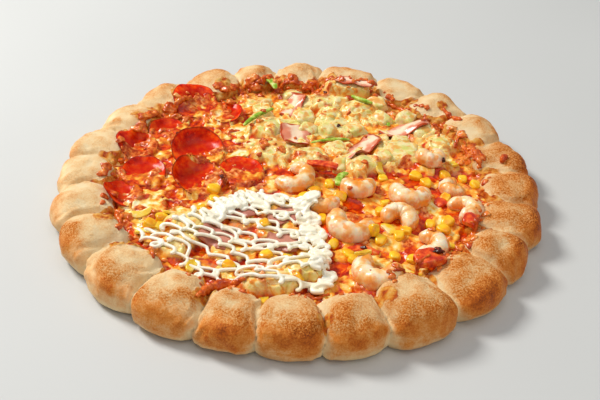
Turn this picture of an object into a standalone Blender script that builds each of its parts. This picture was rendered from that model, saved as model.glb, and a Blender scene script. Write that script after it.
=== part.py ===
"""A whole pan pizza, 335 mm across, with a rim of 24 pinched dough buns and four quarters of toppings.

Metres, +Z up. The origin is on the flat underside, at the middle of the rim. The four quarters are
pepperoni, potato with bacon, shrimp with corn, and ham with potato under a zigzag of mayonnaise.
"""
import math
import random

import bmesh
import bpy
from mathutils import Matrix, Vector, noise
from mathutils.bvhtree import BVHTree
from mathutils.geometry import delaunay_2d_cdt

MM = 0.001
GAP = 0.3 * MM  # air left between pieces that touch
REST_GAP = 0.5 * MM  # air left under a topping, whose faces meet others at a slant
PROBE_STEP = 1.0 * MM  # spacing of the points where that air is measured
ROUND_EDGE_DEG = 60.0
CUT_EDGE_DEG = 40.0

# Dough rim: buns pinched between creases
BUN_COUNT = 24
FIRST_BUN_DEG = -150.0
BUN_SHIFT_DEG = (0, 1, 2, 1, -1, -2, -3, 1, 0, -2, -4, -4, -2, -2, -2, 1, 1, 0, -1, 0, 2, 3, 1, 0)
BUN_REACH_MM = (1, 1, 0, -3, -1, 0, 2, 2, 0, 1, 0, 0, 1, 0, -1, 0, 1, 0, 1, -1, 0, 1, 0, 0)
BUN_RISE_MM = (0, 1, 2, 0, 2, 1, 2, -1, 1, 0, -1, -1, 0, 1, 0, 1, 1, 2, 0, 1, -1, -1, -2, -1)
BUN_COLUMNS = (-1.0, -0.72, -0.36, 0.0, 0.36, 0.72)  # from one crease towards the next
CREASE_OUTER_RADIUS = 160.0 * MM
BUN_BULGE = 7.5 * MM
CREASE_INNER_RADIUS = 134.0 * MM
BUN_NOSE = 6.0 * MM
CREASE_TOP = 16.5 * MM
BUN_TOP = 26.0 * MM
FLOOR = 6.5 * MM  # thickness of the base inside the rim
FOOT_INSET = 4.5 * MM
SIDE_LOW = 3.5 * MM
SIDE_HIGH = 10.0 * MM
INNER_SHOULDER = 12.5 * MM
ARC_DEGREES = (32, 66, 102, 140)  # over the crest, from the outside in
CREST_FLATNESS = 0.8
BUN_FULLNESS = 0.45

# Sauce and melted cheese
CHEESE_TOP = 12.8 * MM
CHEESE_DOME = 2.2 * MM
CHEESE_SPACING = 12.0 * MM
CHEESE_WALL_GAP = 0.6 * MM
WAVE_HEIGHT = 1.3 * MM
WAVE_LENGTH = 26.0 * MM
DENT_DEPTH = 3.0 * MM

# Toppings: centre x and y in mm, turn in degrees, then sizes in mm
PEPPERONI_THICKNESS = 1.8 * MM
PEPPERONI = (  # radius, height of the cupped edge
    (-82, 97, 100, 19.0, 4.0),
    (-57, 84, 30, 14.0, 5.0),
    (-98, 56, 120, 16.0, 5.0),
    (-118, 33, 130, 16.0, 6.0),
    (-73, 27, 115, 21.0, 12.0),
    (-108, -1, 100, 17.0, 6.0),
    (-40, 3, 90, 17.5, 4.0),
    (-69, -10, 150, 20.0, 12.0),
    (-117, -28, 170, 14.0, 6.0),
    (-97, -42, 60, 12.5, 2.0),
)
SHRIMP = (  # outer radius, thickness of the thick end
    (-3, -5, 150, 16.0, 12.0),
    (18, -33, 60, 13.0, 11.0),
    (42, -13, 100, 13.5, 12.0),
    (77, -22, 95, 15.5, 13.0),
    (36, -58, 75, 17.0, 14.0),
    (67, -50, 250, 13.5, 12.0),
    (83, -77, 170, 14.0, 12.0),
    (51, -103, 65, 17.0, 13.5),
    (110, -39, 200, 14.5, 12.0),
    (109, -10, 20, 11.5, 10.0),
    (95, 22, 120, 12.0, 11.0),
)
SHRIMP_MOUTH_DEG = 90.0  # opening of the C
SHRIMP_CREASE = 0.92
SHRIMP_TAIL = 0.45  # share of the thickness that the ends keep
POTATO_BEVEL = 3.0 * MM
POTATO_UNEVENNESS = 1.1 * MM
POTATO = (  # length, width, height
    (-24, 62, 10, 21, 20, 7.5),
    (-17, 30, -15, 24, 20, 8),
    (8, 22, 20, 19, 17, 8),
    (15, 103, 5, 27, 15, 8),
    (38, 121, -8, 28, 12, 7),
    (46, 96, 35, 21, 16, 8.5),
    (23, 81, 80, 20, 14, 8.5),
    (75, 33, -10, 25, 19, 9),
    (94, 63, 20, 16, 14, 8.5),
    (105, 45, 55, 17, 15, 9),
    (46, 14, 40, 19, 16, 8.5),
    (-14, -115, 8, 26, 14, 8),
    (-74, -79, 60, 19, 15, 7),
    (-70, -57, 20, 20, 16, 7),
    (6, -103, 0, 17, 13, 6.5),
)
BACON_THICKNESS = 1.8 * MM
HAM_THICKNESS = 2.0 * MM
SHEET_RIPPLE = 1.2
BACON = (  # length, width, rise of the curled end
    (-6, 98, 70, 30, 15, 8),
    (-2, 48, 95, 28, 22, 7),
    (45, 36, 50, 42, 16, 6),
    (80, 66, 25, 38, 17, 5),
    (44, 120, 165, 32, 11, 1),
)
HAM = (  # length, width
    (-40, -41, 15, 27, 22, 0),
    (-50, -72, -20, 24, 20, 0),
    (-8, -47, 30, 22, 18, 0),
    (-8, -74, -10, 24, 19, 0),
)
STRIP_TAPER = 0.72
GREEN_BOW = 1.6
RED_BOW = 1.0
GREEN_STRIPS = (  # length, width, height of the strip
    (-31, 69, 52, 34, 3.2, 2.6),
    (24, 48, 12, 30, 2.2, 2.0),
    (49, 101, 145, 20, 3.2, 2.4),
    (66, 84, -70, 20, 3.4, 2.4),
    (-25, 122, -60, 22, 5.0, 2.4),
    (31, -8, 65, 17, 5.0, 3.0),
)
RED_PIECES = (
    (17, 5, -12, 22, 7.0, 3.0),
    (82, -97, 20, 19, 13, 5.5),
    (113, -57, 60, 12, 10, 4.5),
    (43, -81, -8, 20, 5.0, 2.6),
    (98, -28, 30, 9, 8.0, 4.0),
)

# Small things fused to the cheese
CORN = (
    (117, 5), (124, -3), (88, -50), (54, -71), (66, -66), (12, -18), (29, -24), (17, -50), (33, -83),
    (62, -84), (60, -30), (96, -58), (-88, -52), (-94, -60), (104, 8), (60, 2), (90, -4), (84, 6),
)
CORN_SIZE = (8.5 * MM, 6.8 * MM, 5.4 * MM)
CRUMBS = (  # browned bacon crumbs: centre of the cluster in mm, spread in mm, number
    (16, 120, 8, 4), (-42, 116, 8, 4), (118, 30, 7, 4), (120, -20, 5, 2), (-118, 56, 6, 1),
    (-88, 76, 8, 2), (-64, 60, 7, 3), (104, -72, 6, 2), (-112, -48, 5, 2), (74, 98, 8, 3),
    (-42, 34, 6, 2), (-30, 96, 7, 2), (60, 50, 6, 2),
)
CRUMB_SIZE = 7.0 * MM
CORN_ROOM = 0.62  # clear distance that a kernel or crumb needs, in its own sizes
CRUMB_ROOM = 0.80

# Mayonnaise squeezed back and forth across its quarter
MAYO_THICKNESS = 3.2 * MM
MAYO_SIDES = 5
MAYO_START_DEG = -145.0
MAYO_END_DEG = -78.0
MAYO_INNER_RADIUS = 34.0 * MM
MAYO_OUTER_RADIUS = 120.0 * MM
MAYO_PASSES = 11
MAYO_STEP = 4.8 * MM
MAYO_WAVE = 2.0 * MM
MAYO_WAVE_LENGTH = 19.2 * MM
MAYO_RIDGES = (  # where the turns pile up: angle, first radius, last radius, thickness
    (-80.0, 40.0, 122.0, 7.0),
    (-87.0, 46.0, 116.0, 6.0),
    (-140.0, 46.0, 76.0, 6.0),
)
MAYO_RIDGE_STEP = 8.0


def clear_scene():
    for old in list(bpy.data.objects):
        bpy.data.objects.remove(old)


def material(name, colour, roughness):
    made = bpy.data.materials.new(name)
    made.use_nodes = True
    shader = made.node_tree.nodes["Principled BSDF"]
    shader.inputs["Base Color"].default_value = (*colour, 1.0)
    shader.inputs["Roughness"].default_value = roughness
    return made


def add_object(name, mesh_data, finish, smooth_degrees=ROUND_EDGE_DEG):
    mesh = bpy.data.meshes.new(name)
    mesh_data.to_mesh(mesh)
    mesh_data.free()
    mesh.shade_smooth()
    mesh.set_sharp_from_angle(angle=math.radians(smooth_degrees))
    mesh.materials.append(finish)
    made = bpy.data.objects.new(name, mesh)
    bpy.context.scene.collection.objects.link(made)
    return made


def triangulated(mesh_data):
    bmesh.ops.recalc_face_normals(mesh_data, faces=mesh_data.faces)
    bmesh.ops.triangulate(mesh_data, faces=mesh_data.faces)
    return mesh_data


def loft(rings):
    """A closed mesh through rings of equally many points."""
    made = bmesh.new()
    loops = [[made.verts.new(point) for point in ring] for ring in rings]
    for low, high in zip(loops, loops[1:]):
        for k in range(len(low)):
            after = (k + 1) % len(low)
            made.faces.new((low[k], low[after], high[after], high[k]))
    made.faces.new(loops[0][::-1])
    made.faces.new(loops[-1])
    return triangulated(made)


# The dough rim

def bun_centres():
    return [FIRST_BUN_DEG + k * 360.0 / BUN_COUNT + BUN_SHIFT_DEG[k] for k in range(BUN_COUNT)]


def rim_columns():
    """(angle, swell, reach, rise) of each column; swell is 0 in a crease and 1 on a bun."""
    centres = bun_centres()
    columns = []
    for k, centre in enumerate(centres):
        before = centres[k - 1] - (360.0 if k == 0 else 0.0)
        after = centres[(k + 1) % BUN_COUNT] + (360.0 if k == BUN_COUNT - 1 else 0.0)
        for share in BUN_COLUMNS:
            half = (centre - before) / 2 if share < 0 else (after - centre) / 2
            swell = max(0.0, 1.0 - share * share) ** BUN_FULLNESS
            columns.append((
                math.radians(centre + share * half),
                swell,
                BUN_REACH_MM[k] * MM * swell,
                BUN_RISE_MM[k] * MM * swell,
            ))
    return columns


def inner_radius(swell):
    return CREASE_INNER_RADIUS - BUN_NOSE * swell


def dough_section(swell, reach, rise):
    """(radius, height) from the foot outside, over the top, to the floor inside."""
    outer = CREASE_OUTER_RADIUS + BUN_BULGE * swell + reach
    inner = inner_radius(swell)
    top = CREASE_TOP + (BUN_TOP - CREASE_TOP) * swell + rise
    middle, half = (outer + inner) / 2, (outer - inner) / 2
    section = [(outer - FOOT_INSET, 0.0), (outer - 1.0 * MM, SIDE_LOW), (outer, SIDE_HIGH)]
    for degrees in ARC_DEGREES:
        turn = math.radians(degrees)
        shoulder = SIDE_HIGH + (INNER_SHOULDER - SIDE_HIGH) * degrees / 180.0
        height = shoulder + (top - shoulder) * math.sin(turn) ** CREST_FLATNESS
        section.append((middle + half * math.cos(turn), height))
    section += [(inner, INNER_SHOULDER), (inner, FLOOR)]
    return section


def rim_offset():
    """How far the middle of the rim's box lies from where the circle is drawn."""
    xs, ys = [], []
    for angle, *sizes in rim_columns():
        widest = max(radius for radius, height in dough_section(*sizes))
        xs.append(widest * math.cos(angle))
        ys.append(widest * math.sin(angle))
    return Vector(((min(xs) + max(xs)) / 2, (min(ys) + max(ys)) / 2, 0.0))


def build_dough():
    sections = [(angle, dough_section(*sizes)) for angle, *sizes in rim_columns()]
    rings = [
        [(s[row][0] * math.cos(a), s[row][0] * math.sin(a), s[row][1]) for a, s in sections]
        for row in range(len(sections[0][1]))
    ]
    return loft(rings)


# The melted cheese

def topping_spots():
    """(x, y, radius) of the footprints of the pieces that sink into the cheese."""
    spots = [(x, y, radius + 3) for x, y, turn, radius, thickness in SHRIMP]
    spots += [(x, y, (length + width) / 4 + 4) for x, y, turn, length, width, height in POTATO]
    return [(x * MM, y * MM, radius * MM) for x, y, radius in spots]


def cheese_height(x, y, spots):
    share = math.hypot(x, y) / CREASE_INNER_RADIUS
    height = CHEESE_TOP + CHEESE_DOME * (1 - share * share)
    height += WAVE_HEIGHT * noise.noise(Vector((x / WAVE_LENGTH, y / WAVE_LENGTH, 3.0)))
    dent = max(2 * (1 - ((x - a) ** 2 + (y - b) ** 2) / radius ** 2) for a, b, radius in spots)
    return height - DENT_DEPTH * min(1.0, max(0.0, dent))


def cheese_outline():
    outline = []
    for angle, swell, reach, rise in rim_columns():
        radius = inner_radius(swell) - CHEESE_WALL_GAP
        outline.append((radius * math.cos(angle), radius * math.sin(angle)))
    return outline


def cheese_points():
    """The outline, then points on a loose triangular grid inside it."""
    draw = random.Random(5)
    points = cheese_outline()
    rim_count = len(points)
    reach = CREASE_INNER_RADIUS - BUN_NOSE - CHEESE_SPACING * 0.6
    rows = int(2 * reach / (CHEESE_SPACING * 0.866)) + 1
    for row in range(-rows // 2, rows // 2 + 1):
        y = row * CHEESE_SPACING * 0.866
        for k in range(-rows // 2, rows // 2 + 1):
            x = (k + 0.5 * (row % 2)) * CHEESE_SPACING
            if math.hypot(x, y) < reach:
                points.append((x + draw.uniform(-1, 1) * MM, y + draw.uniform(-1, 1) * MM))
    return points, rim_count


def build_cheese():
    """The cheese before anything is fused to it, as a closed bmesh."""
    spots = topping_spots()
    points, rim_count = cheese_points()
    outline = [(k, (k + 1) % rim_count) for k in range(rim_count)]
    flat, edges, faces, *rest = delaunay_2d_cdt([Vector(p) for p in points], outline, [], 1, 1e-6)
    made = bmesh.new()
    top = [made.verts.new((p.x, p.y, cheese_height(p.x, p.y, spots))) for p in flat]
    for face in faces:
        made.faces.new([top[k] for k in face])
    floor = FLOOR + GAP
    border = [edge for edge in made.edges if edge.is_boundary]
    hung = bmesh.ops.extrude_edge_only(made, edges=border)["geom"]
    low = [item for item in hung if isinstance(item, bmesh.types.BMVert)]
    for vertex in low:
        vertex.co.z = floor
    bmesh.ops.holes_fill(made, edges=[edge for edge in made.edges if edge.is_boundary], sides=0)
    return triangulated(made)


# What toppings rest on

class Support:
    """The surfaces that toppings rest on, kept as one search tree for each piece."""

    def __init__(self):
        self.pieces = []

    def add(self, mesh_data):
        self.pieces.append((BVHTree.FromBMesh(mesh_data), plan_box(mesh_data)))

    def height(self, x, y):
        """The highest surface over a point, or 0 where there is none."""
        found = 0.0
        for tree, (left, right, front, back) in self.pieces:
            if left <= x <= right and front <= y <= back:
                hit = tree.ray_cast(Vector((x, y, 1.0)), Vector((0, 0, -1)))
                if hit[0] is not None:
                    found = max(found, hit[0].z)
        return found

    def spread_height(self, x, y, spread):
        """The highest surface within spread of a point."""
        ring = [(x, y)]
        for share in (0.5, 1.0):
            for k in range(8):
                turn = k * math.pi / 4
                ring.append((x + share * spread * math.cos(turn), y + share * spread * math.sin(turn)))
        return max(self.height(a, b) for a, b in ring)

    def band_height(self, start, end, half_width):
        """The highest surface under a straight band from start to end, or 0 where there is none."""
        along = Vector((end[0] - start[0], end[1] - start[1]))
        across = Vector((-along.y, along.x)).normalized() * half_width
        steps = int(along.length / PROBE_STEP) + 1
        found = 0.0
        for k in range(-2, steps + 3):
            for side in (-1.0, -0.5, 0.0, 0.5, 1.0):
                spot = Vector(start) + along * k / steps + across * side
                found = max(found, self.height(spot.x, spot.y))
        return found

    def distance(self, point):
        """How far a point is from the nearest surface."""
        return min((tree.find_nearest(point)[3] for tree, box in self.pieces), default=1.0)

    def lift(self, mesh_data):
        """How far a rigid piece has to rise to rest just clear of what is under it."""
        own = BVHTree.FromBMesh(mesh_data)
        left, right, front, back = plan_box(mesh_data)
        need = max(self.height(vertex.co.x, vertex.co.y) - vertex.co.z for vertex in mesh_data.verts)
        for i in range(int((right - left) / PROBE_STEP) + 2):
            for j in range(int((back - front) / PROBE_STEP) + 2):
                x, y = left + i * PROBE_STEP, front + j * PROBE_STEP
                hit = own.ray_cast(Vector((x, y, -1.0)), Vector((0, 0, 1)))
                if hit[0] is not None:
                    need = max(need, self.height(x, y) - hit[0].z)
        return need + REST_GAP


def plan_box(mesh_data):
    xs = [vertex.co.x for vertex in mesh_data.verts]
    ys = [vertex.co.y for vertex in mesh_data.verts]
    return min(xs), max(xs), min(ys), max(ys)


def settle(mesh_data, support):
    """Puts a rigid piece down on what is under it."""
    bmesh.ops.translate(mesh_data, verts=mesh_data.verts, vec=(0, 0, support.lift(mesh_data)))


def placed(mesh_data, x, y, turn):
    where = Matrix.Translation((x * MM, y * MM, 0.0)) @ Matrix.Rotation(math.radians(turn), 4, "Z")
    bmesh.ops.transform(mesh_data, matrix=where, verts=mesh_data.verts)
    return mesh_data


# Toppings that are thick

def potato_chunk(length, width, height, draw):
    made = bmesh.new()
    bmesh.ops.create_cube(made, size=1.0)
    bmesh.ops.scale(made, vec=(length * MM, width * MM, height * MM), verts=made.verts)
    bmesh.ops.bevel(made, geom=made.edges, offset=POTATO_BEVEL, segments=1, affect="EDGES")
    for vertex in made.verts:
        vertex.co += Vector([draw.uniform(-1, 1) for axis in range(3)]) * POTATO_UNEVENNESS
    return triangulated(made)


def shrimp_body(radius, thickness, stations=11, sides=6):
    """A peeled shrimp lying on its side: a tapering body curled into a C that opens towards +X."""
    rings = []
    for k in range(stations):
        along = k / (stations - 1)
        turn = math.radians(SHRIMP_MOUTH_DEG / 2 + (360 - SHRIMP_MOUTH_DEG) * along)
        swell = math.sin(math.pi * (0.16 + 0.72 * along) ** 0.8)
        half = thickness / 2 * (SHRIMP_TAIL + (1 - SHRIMP_TAIL) * swell) * (SHRIMP_CREASE if k % 2 else 1.0)
        ring = []
        for side in range(sides):
            round_turn = 2 * math.pi * side / sides
            out = radius - thickness / 2 + half * math.cos(round_turn)
            level = half * math.sin(round_turn)
            ring.append((out * math.cos(turn) * MM, out * math.sin(turn) * MM, level * MM))
        rings.append(ring)
    return loft(rings)


def strip_piece(length, width, height, bend):
    """A short cut strip, bowed up and to one side along its length."""
    rings = []
    for k in range(5):
        along = k / 4 - 0.5
        bow = bend * (1 - 4 * along * along)
        taper = STRIP_TAPER if k in (0, 4) else 1.0
        half_width, half_height = width / 2 * taper, height / 2 * taper
        rings.append([
            Vector((along * length, side * half_width + bow, level * half_height + bow / 2)) * MM
            for side, level in ((-1, -1), (1, -1), (1, 1), (-1, 1))
        ])
    return loft(rings)


# Toppings that are thin, draped over what is under them

def drape(x, y, own_height, thickness, support, spread):
    return max(own_height, support.spread_height(x, y, spread) + REST_GAP + thickness / 2)


def sheet_between(middle, faces, border, thickness):
    """A closed sheet from its middle points, the faces over them and the border in order."""
    made = bmesh.new()
    up = Vector((0, 0, thickness / 2))
    top = [made.verts.new(p + up) for p in middle]
    low = [made.verts.new(p - up) for p in middle]
    for face in faces:
        made.faces.new([top[k] for k in face])
        made.faces.new([low[k] for k in reversed(face)])
    for a, b in zip(border, border[1:] + border[:1]):
        made.faces.new((top[a], low[a], low[b], top[b]))
    return triangulated(made)


def pepperoni_slice(x, y, turn, radius, cup, support, sides=14):
    """A round slice whose edge stands up towards the side that turn names."""
    middle = []
    ground = support.height(x * MM, y * MM)
    for share, count in ((0.0, 1), (0.55, sides), (1.0, sides)):
        for k in range(count):
            angle = 2 * math.pi * k / sides
            towards = 0.5 + 0.5 * math.cos(angle - math.radians(turn))
            px = (x + radius * share * math.cos(angle)) * MM
            py = (y + radius * share * math.sin(angle)) * MM
            own = ground + cup * MM * share ** 2.5 * towards
            middle.append(Vector((px, py, drape(px, py, own, PEPPERONI_THICKNESS, support, 4 * MM))))
    inner, outer = range(1, sides + 1), range(sides + 1, 2 * sides + 1)
    faces = [(0, inner[k], inner[(k + 1) % sides]) for k in range(sides)]
    faces += [(inner[k], outer[k], outer[(k + 1) % sides], inner[(k + 1) % sides]) for k in range(sides)]
    return sheet_between(middle, faces, list(outer), PEPPERONI_THICKNESS)


def wavy_rectangle(x, y, turn, length, width, curl, thickness, support, columns, rows):
    """A thin cut piece that ripples along its length, with its far end curled up."""
    middle = []
    direction = math.radians(turn)
    ground = support.height(x * MM, y * MM)
    for i in range(columns):
        for j in range(rows):
            u, v = i / (columns - 1) - 0.5, j / (rows - 1) - 0.5
            a, b = u * length, v * width * (1 + 0.15 * math.sin(7 * u))
            px = (x + a * math.cos(direction) - b * math.sin(direction)) * MM
            py = (y + a * math.sin(direction) + b * math.cos(direction)) * MM
            ripple = SHEET_RIPPLE * math.sin(9 * u + 2 * v) + curl * max(0.0, u + 0.1) ** 2 * 3
            own = ground + ripple * MM
            middle.append(Vector((px, py, drape(px, py, own, thickness, support, 5 * MM))))
    faces = [
        (i * rows + j, (i + 1) * rows + j, (i + 1) * rows + j + 1, i * rows + j + 1)
        for i in range(columns - 1)
        for j in range(rows - 1)
    ]
    border = [i * rows for i in range(columns)]
    border += [(columns - 1) * rows + j for j in range(1, rows)]
    border += [i * rows + rows - 1 for i in range(columns - 2, -1, -1)]
    border += [j for j in range(rows - 2, 0, -1)]
    return sheet_between(middle, faces, border, thickness)


# Small things fused to the cheese

def corn_kernel(x, y, turn, height):
    made = bmesh.new()
    bmesh.ops.create_uvsphere(made, u_segments=6, v_segments=3, radius=0.5)
    bmesh.ops.scale(made, vec=CORN_SIZE, verts=made.verts)
    placed(made, x / MM, y / MM, turn)
    bmesh.ops.translate(made, verts=made.verts, vec=(0, 0, height + CORN_SIZE[2] * 0.22))
    return triangulated(made)


def crumb(x, y, size, height, draw):
    made = bmesh.new()
    bmesh.ops.create_icosphere(made, subdivisions=1, radius=size / 2)
    for vertex in made.verts:
        vertex.co *= draw.uniform(0.75, 1.2)
    bmesh.ops.translate(made, verts=made.verts, vec=(x, y, height + size * 0.2))
    return triangulated(made)


def mayo_point(number, along):
    """A point on one pass of the mayonnaise; each pass starts where the last ended."""
    start, end = (MAYO_START_DEG, MAYO_END_DEG) if number % 2 == 0 else (MAYO_END_DEG, MAYO_START_DEG)
    share = (number + along) / MAYO_PASSES
    radius = MAYO_INNER_RADIUS + (MAYO_OUTER_RADIUS - MAYO_INNER_RADIUS) * share
    angle = math.radians(start + (end - start) * along)
    run = radius * math.radians(MAYO_END_DEG - MAYO_START_DEG) * along
    calm_at_turns = math.sin(math.pi * along) ** 0.5
    radius += MAYO_WAVE * math.sin(2 * math.pi * run / MAYO_WAVE_LENGTH) * calm_at_turns
    return radius * math.cos(angle), radius * math.sin(angle)


def mayo_pass_points(number):
    share = (number + 0.5) / MAYO_PASSES
    radius = MAYO_INNER_RADIUS + (MAYO_OUTER_RADIUS - MAYO_INNER_RADIUS) * share
    count = round(radius * math.radians(MAYO_END_DEG - MAYO_START_DEG) / MAYO_STEP)
    return [mayo_point(number, k / count) for k in range(count + 1)]


def mayo_ridge_points(degrees, first, last):
    count = round((last - first) / MAYO_RIDGE_STEP)
    angle = math.radians(degrees)
    radii = [(first + (last - first) * k / count) * MM for k in range(count + 1)]
    return [(radius * math.cos(angle), radius * math.sin(angle)) for radius in radii]


def mayo_strand(flat, thickness, cheese, pieces):
    """A round strand through plan points, lying on the cheese and clear of pieces that it crosses."""
    half = thickness / 2
    heights = [cheese.height(x, y) + half * 0.5 for x, y in flat]
    for k, (start, end) in enumerate(zip(flat, flat[1:])):
        crossed = pieces.band_height(start, end, half + 2 * REST_GAP)
        if crossed > 0:
            heights[k] = max(heights[k], crossed + half + REST_GAP)
            heights[k + 1] = max(heights[k + 1], crossed + half + REST_GAP)
    line = [Vector((x, y, z)) for (x, y), z in zip(flat, heights)]
    rings = []
    for k, point in enumerate(line):
        along = (line[min(k + 1, len(line) - 1)] - line[max(k - 1, 0)]).normalized()
        across = along.cross(Vector((0, 0, 1))).normalized()
        upward = across.cross(along)
        reach = half * (0.7 if k in (0, len(line) - 1) else 1.0)
        ring = []
        for side in range(MAYO_SIDES):
            turn = 2 * math.pi * side / MAYO_SIDES
            ring.append(point + (upward * math.cos(turn) + across * math.sin(turn)) * reach)
        rings.append(ring)
    return loft(rings)


def fuse_to(base, extras):
    """Joins closed pieces to the base by one Boolean union, then removes them."""
    group = bpy.data.collections.new("fused")
    bpy.context.scene.collection.children.link(group)
    for number, mesh_data in enumerate(extras):
        mesh = bpy.data.meshes.new("fused_%d" % number)
        mesh_data.to_mesh(mesh)
        mesh_data.free()
        group.objects.link(bpy.data.objects.new("fused_%d" % number, mesh))
    union = base.modifiers.new("fuse", "BOOLEAN")
    union.operation = "UNION"
    union.operand_type = "COLLECTION"
    union.collection = group
    depsgraph = bpy.context.evaluated_depsgraph_get()
    joined = bpy.data.meshes.new_from_object(base.evaluated_get(depsgraph))
    base.modifiers.clear()
    base.data = joined
    for piece in list(group.objects):
        bpy.data.objects.remove(piece)
    bpy.data.collections.remove(group)


def build():
    clear_scene()
    dough = material("baked_dough", (0.72, 0.45, 0.20), 0.75)
    cheese_finish = material("melted_cheese", (0.85, 0.50, 0.15), 0.4)
    pepperoni_finish = material("pepperoni", (0.60, 0.06, 0.02), 0.35)
    shrimp_finish = material("shrimp", (0.88, 0.60, 0.42), 0.35)
    potato_finish = material("potato", (0.82, 0.74, 0.38), 0.5)
    bacon_finish = material("bacon", (0.72, 0.30, 0.20), 0.4)
    ham_finish = material("ham", (0.62, 0.30, 0.26), 0.4)
    green_finish = material("green_pepper", (0.15, 0.38, 0.04), 0.4)
    red_finish = material("tomato", (0.62, 0.05, 0.01), 0.3)

    crust_mesh = build_dough()
    cheese_mesh = build_cheese()
    ground, pieces, everything = Support(), Support(), Support()
    ground.add(cheese_mesh)
    everything.add(cheese_mesh)
    everything.add(crust_mesh)
    add_object("dough_crust", crust_mesh, dough)

    def keep(name, mesh_data, finish, smooth=ROUND_EDGE_DEG):
        pieces.add(mesh_data)
        everything.add(mesh_data)
        add_object(name, mesh_data, finish, smooth)

    draw = random.Random(11)
    for number, (x, y, turn, length, width, height) in enumerate(POTATO, 1):
        chunk = placed(potato_chunk(length, width, height, draw), x, y, turn)
        settle(chunk, everything)
        keep("potato_%d" % number, chunk, potato_finish, CUT_EDGE_DEG)
    for number, (x, y, turn, radius, thickness) in enumerate(SHRIMP, 1):
        body = placed(shrimp_body(radius, thickness), x, y, turn)
        settle(body, everything)
        keep("shrimp_%d" % number, body, shrimp_finish)
    for number, (x, y, turn, length, width, height) in enumerate(RED_PIECES, 1):
        piece = placed(strip_piece(length, width, height, RED_BOW), x, y, turn)
        settle(piece, everything)
        keep("tomato_%d" % number, piece, red_finish, CUT_EDGE_DEG)
    for number, (x, y, turn, length, width, curl) in enumerate(HAM, 1):
        sizes = (length, width, curl, HAM_THICKNESS)
        slice_mesh = wavy_rectangle(x, y, turn, *sizes, everything, 4, 3)
        settle(slice_mesh, everything)
        keep("ham_%d" % number, slice_mesh, ham_finish)
    for number, (x, y, turn, radius, cup) in enumerate(PEPPERONI, 1):
        slice_mesh = pepperoni_slice(x, y, turn, radius, cup, everything)
        settle(slice_mesh, everything)
        keep("pepperoni_%d" % number, slice_mesh, pepperoni_finish)
    for number, (x, y, turn, length, width, curl) in enumerate(BACON, 1):
        sizes = (length, width, curl, BACON_THICKNESS)
        strip = wavy_rectangle(x, y, turn, *sizes, everything, 6, 3)
        settle(strip, everything)
        keep("bacon_%d" % number, strip, bacon_finish)
    for number, (x, y, turn, length, width, height) in enumerate(GREEN_STRIPS, 1):
        strip = placed(strip_piece(length, width, height, GREEN_BOW), x, y, turn)
        settle(strip, everything)
        keep("green_pepper_%d" % number, strip, green_finish, CUT_EDGE_DEG)

    fused = []
    for x, y in CORN:
        spot = Vector((x * MM, y * MM, ground.height(x * MM, y * MM)))
        if pieces.distance(spot) > CORN_SIZE[0] * CORN_ROOM:
            fused.append(corn_kernel(spot.x, spot.y, draw.uniform(0, 180), spot.z))
    for x, y, spread, count in CRUMBS:
        for k in range(count):
            turn, away = draw.uniform(0, 2 * math.pi), spread * math.sqrt(draw.uniform(0, 1))
            px, py = (x + away * math.cos(turn)) * MM, (y + away * math.sin(turn)) * MM
            size = CRUMB_SIZE * draw.uniform(0.75, 1.15)
            spot = Vector((px, py, ground.height(px, py)))
            inside = math.hypot(px, py) + size * 0.7 < CREASE_INNER_RADIUS - BUN_NOSE
            if inside and pieces.distance(spot) > size * CRUMB_ROOM:
                fused.append(crumb(px, py, size, spot.z, draw))
    for number in range(MAYO_PASSES):
        fused.append(mayo_strand(mayo_pass_points(number), MAYO_THICKNESS, ground, pieces))
    for degrees, first, last, thickness in MAYO_RIDGES:
        ridge = mayo_ridge_points(degrees, first, last)
        fused.append(mayo_strand(ridge, thickness * MM, ground, pieces))

    cheese = add_object("melted_cheese", cheese_mesh, cheese_finish)
    fuse_to(cheese, fused)
    offset = rim_offset()
    for made in bpy.data.objects:
        made.data.transform(Matrix.Translation(-offset))


build()
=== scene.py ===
"""The looks of a whole pan pizza: baked rim of pinched buns, melted cheese and four quarters of toppings.

Shapes are worked out in millimetres, +Z up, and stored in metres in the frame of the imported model. Tables
of places are on the plan of the pizza, measured from the middle of the circle that its rim is drawn on.
"""
import math
import random
from contextlib import contextmanager
from functools import partial

import bpy
import numpy as np
from mathutils import Matrix, Vector, noise
from mathutils.bvhtree import BVHTree


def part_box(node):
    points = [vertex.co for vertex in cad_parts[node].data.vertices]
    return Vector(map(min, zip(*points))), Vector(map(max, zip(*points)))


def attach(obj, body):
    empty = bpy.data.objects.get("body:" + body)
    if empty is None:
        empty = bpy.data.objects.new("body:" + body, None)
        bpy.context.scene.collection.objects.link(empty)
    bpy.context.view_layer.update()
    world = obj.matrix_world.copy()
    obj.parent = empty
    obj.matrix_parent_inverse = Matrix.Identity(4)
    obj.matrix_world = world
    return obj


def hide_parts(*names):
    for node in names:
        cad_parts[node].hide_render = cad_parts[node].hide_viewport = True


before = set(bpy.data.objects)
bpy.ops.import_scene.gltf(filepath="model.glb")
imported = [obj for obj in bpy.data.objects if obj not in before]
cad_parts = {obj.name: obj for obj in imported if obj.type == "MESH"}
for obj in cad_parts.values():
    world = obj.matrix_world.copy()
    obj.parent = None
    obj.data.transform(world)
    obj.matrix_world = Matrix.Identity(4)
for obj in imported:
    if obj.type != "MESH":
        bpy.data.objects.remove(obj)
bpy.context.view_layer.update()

MM = 0.001
MIDDLE = np.array((0.1913, -0.9998))  # middle of the rim's circle in the frame
FULL_TURN = 2 * math.pi

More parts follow.
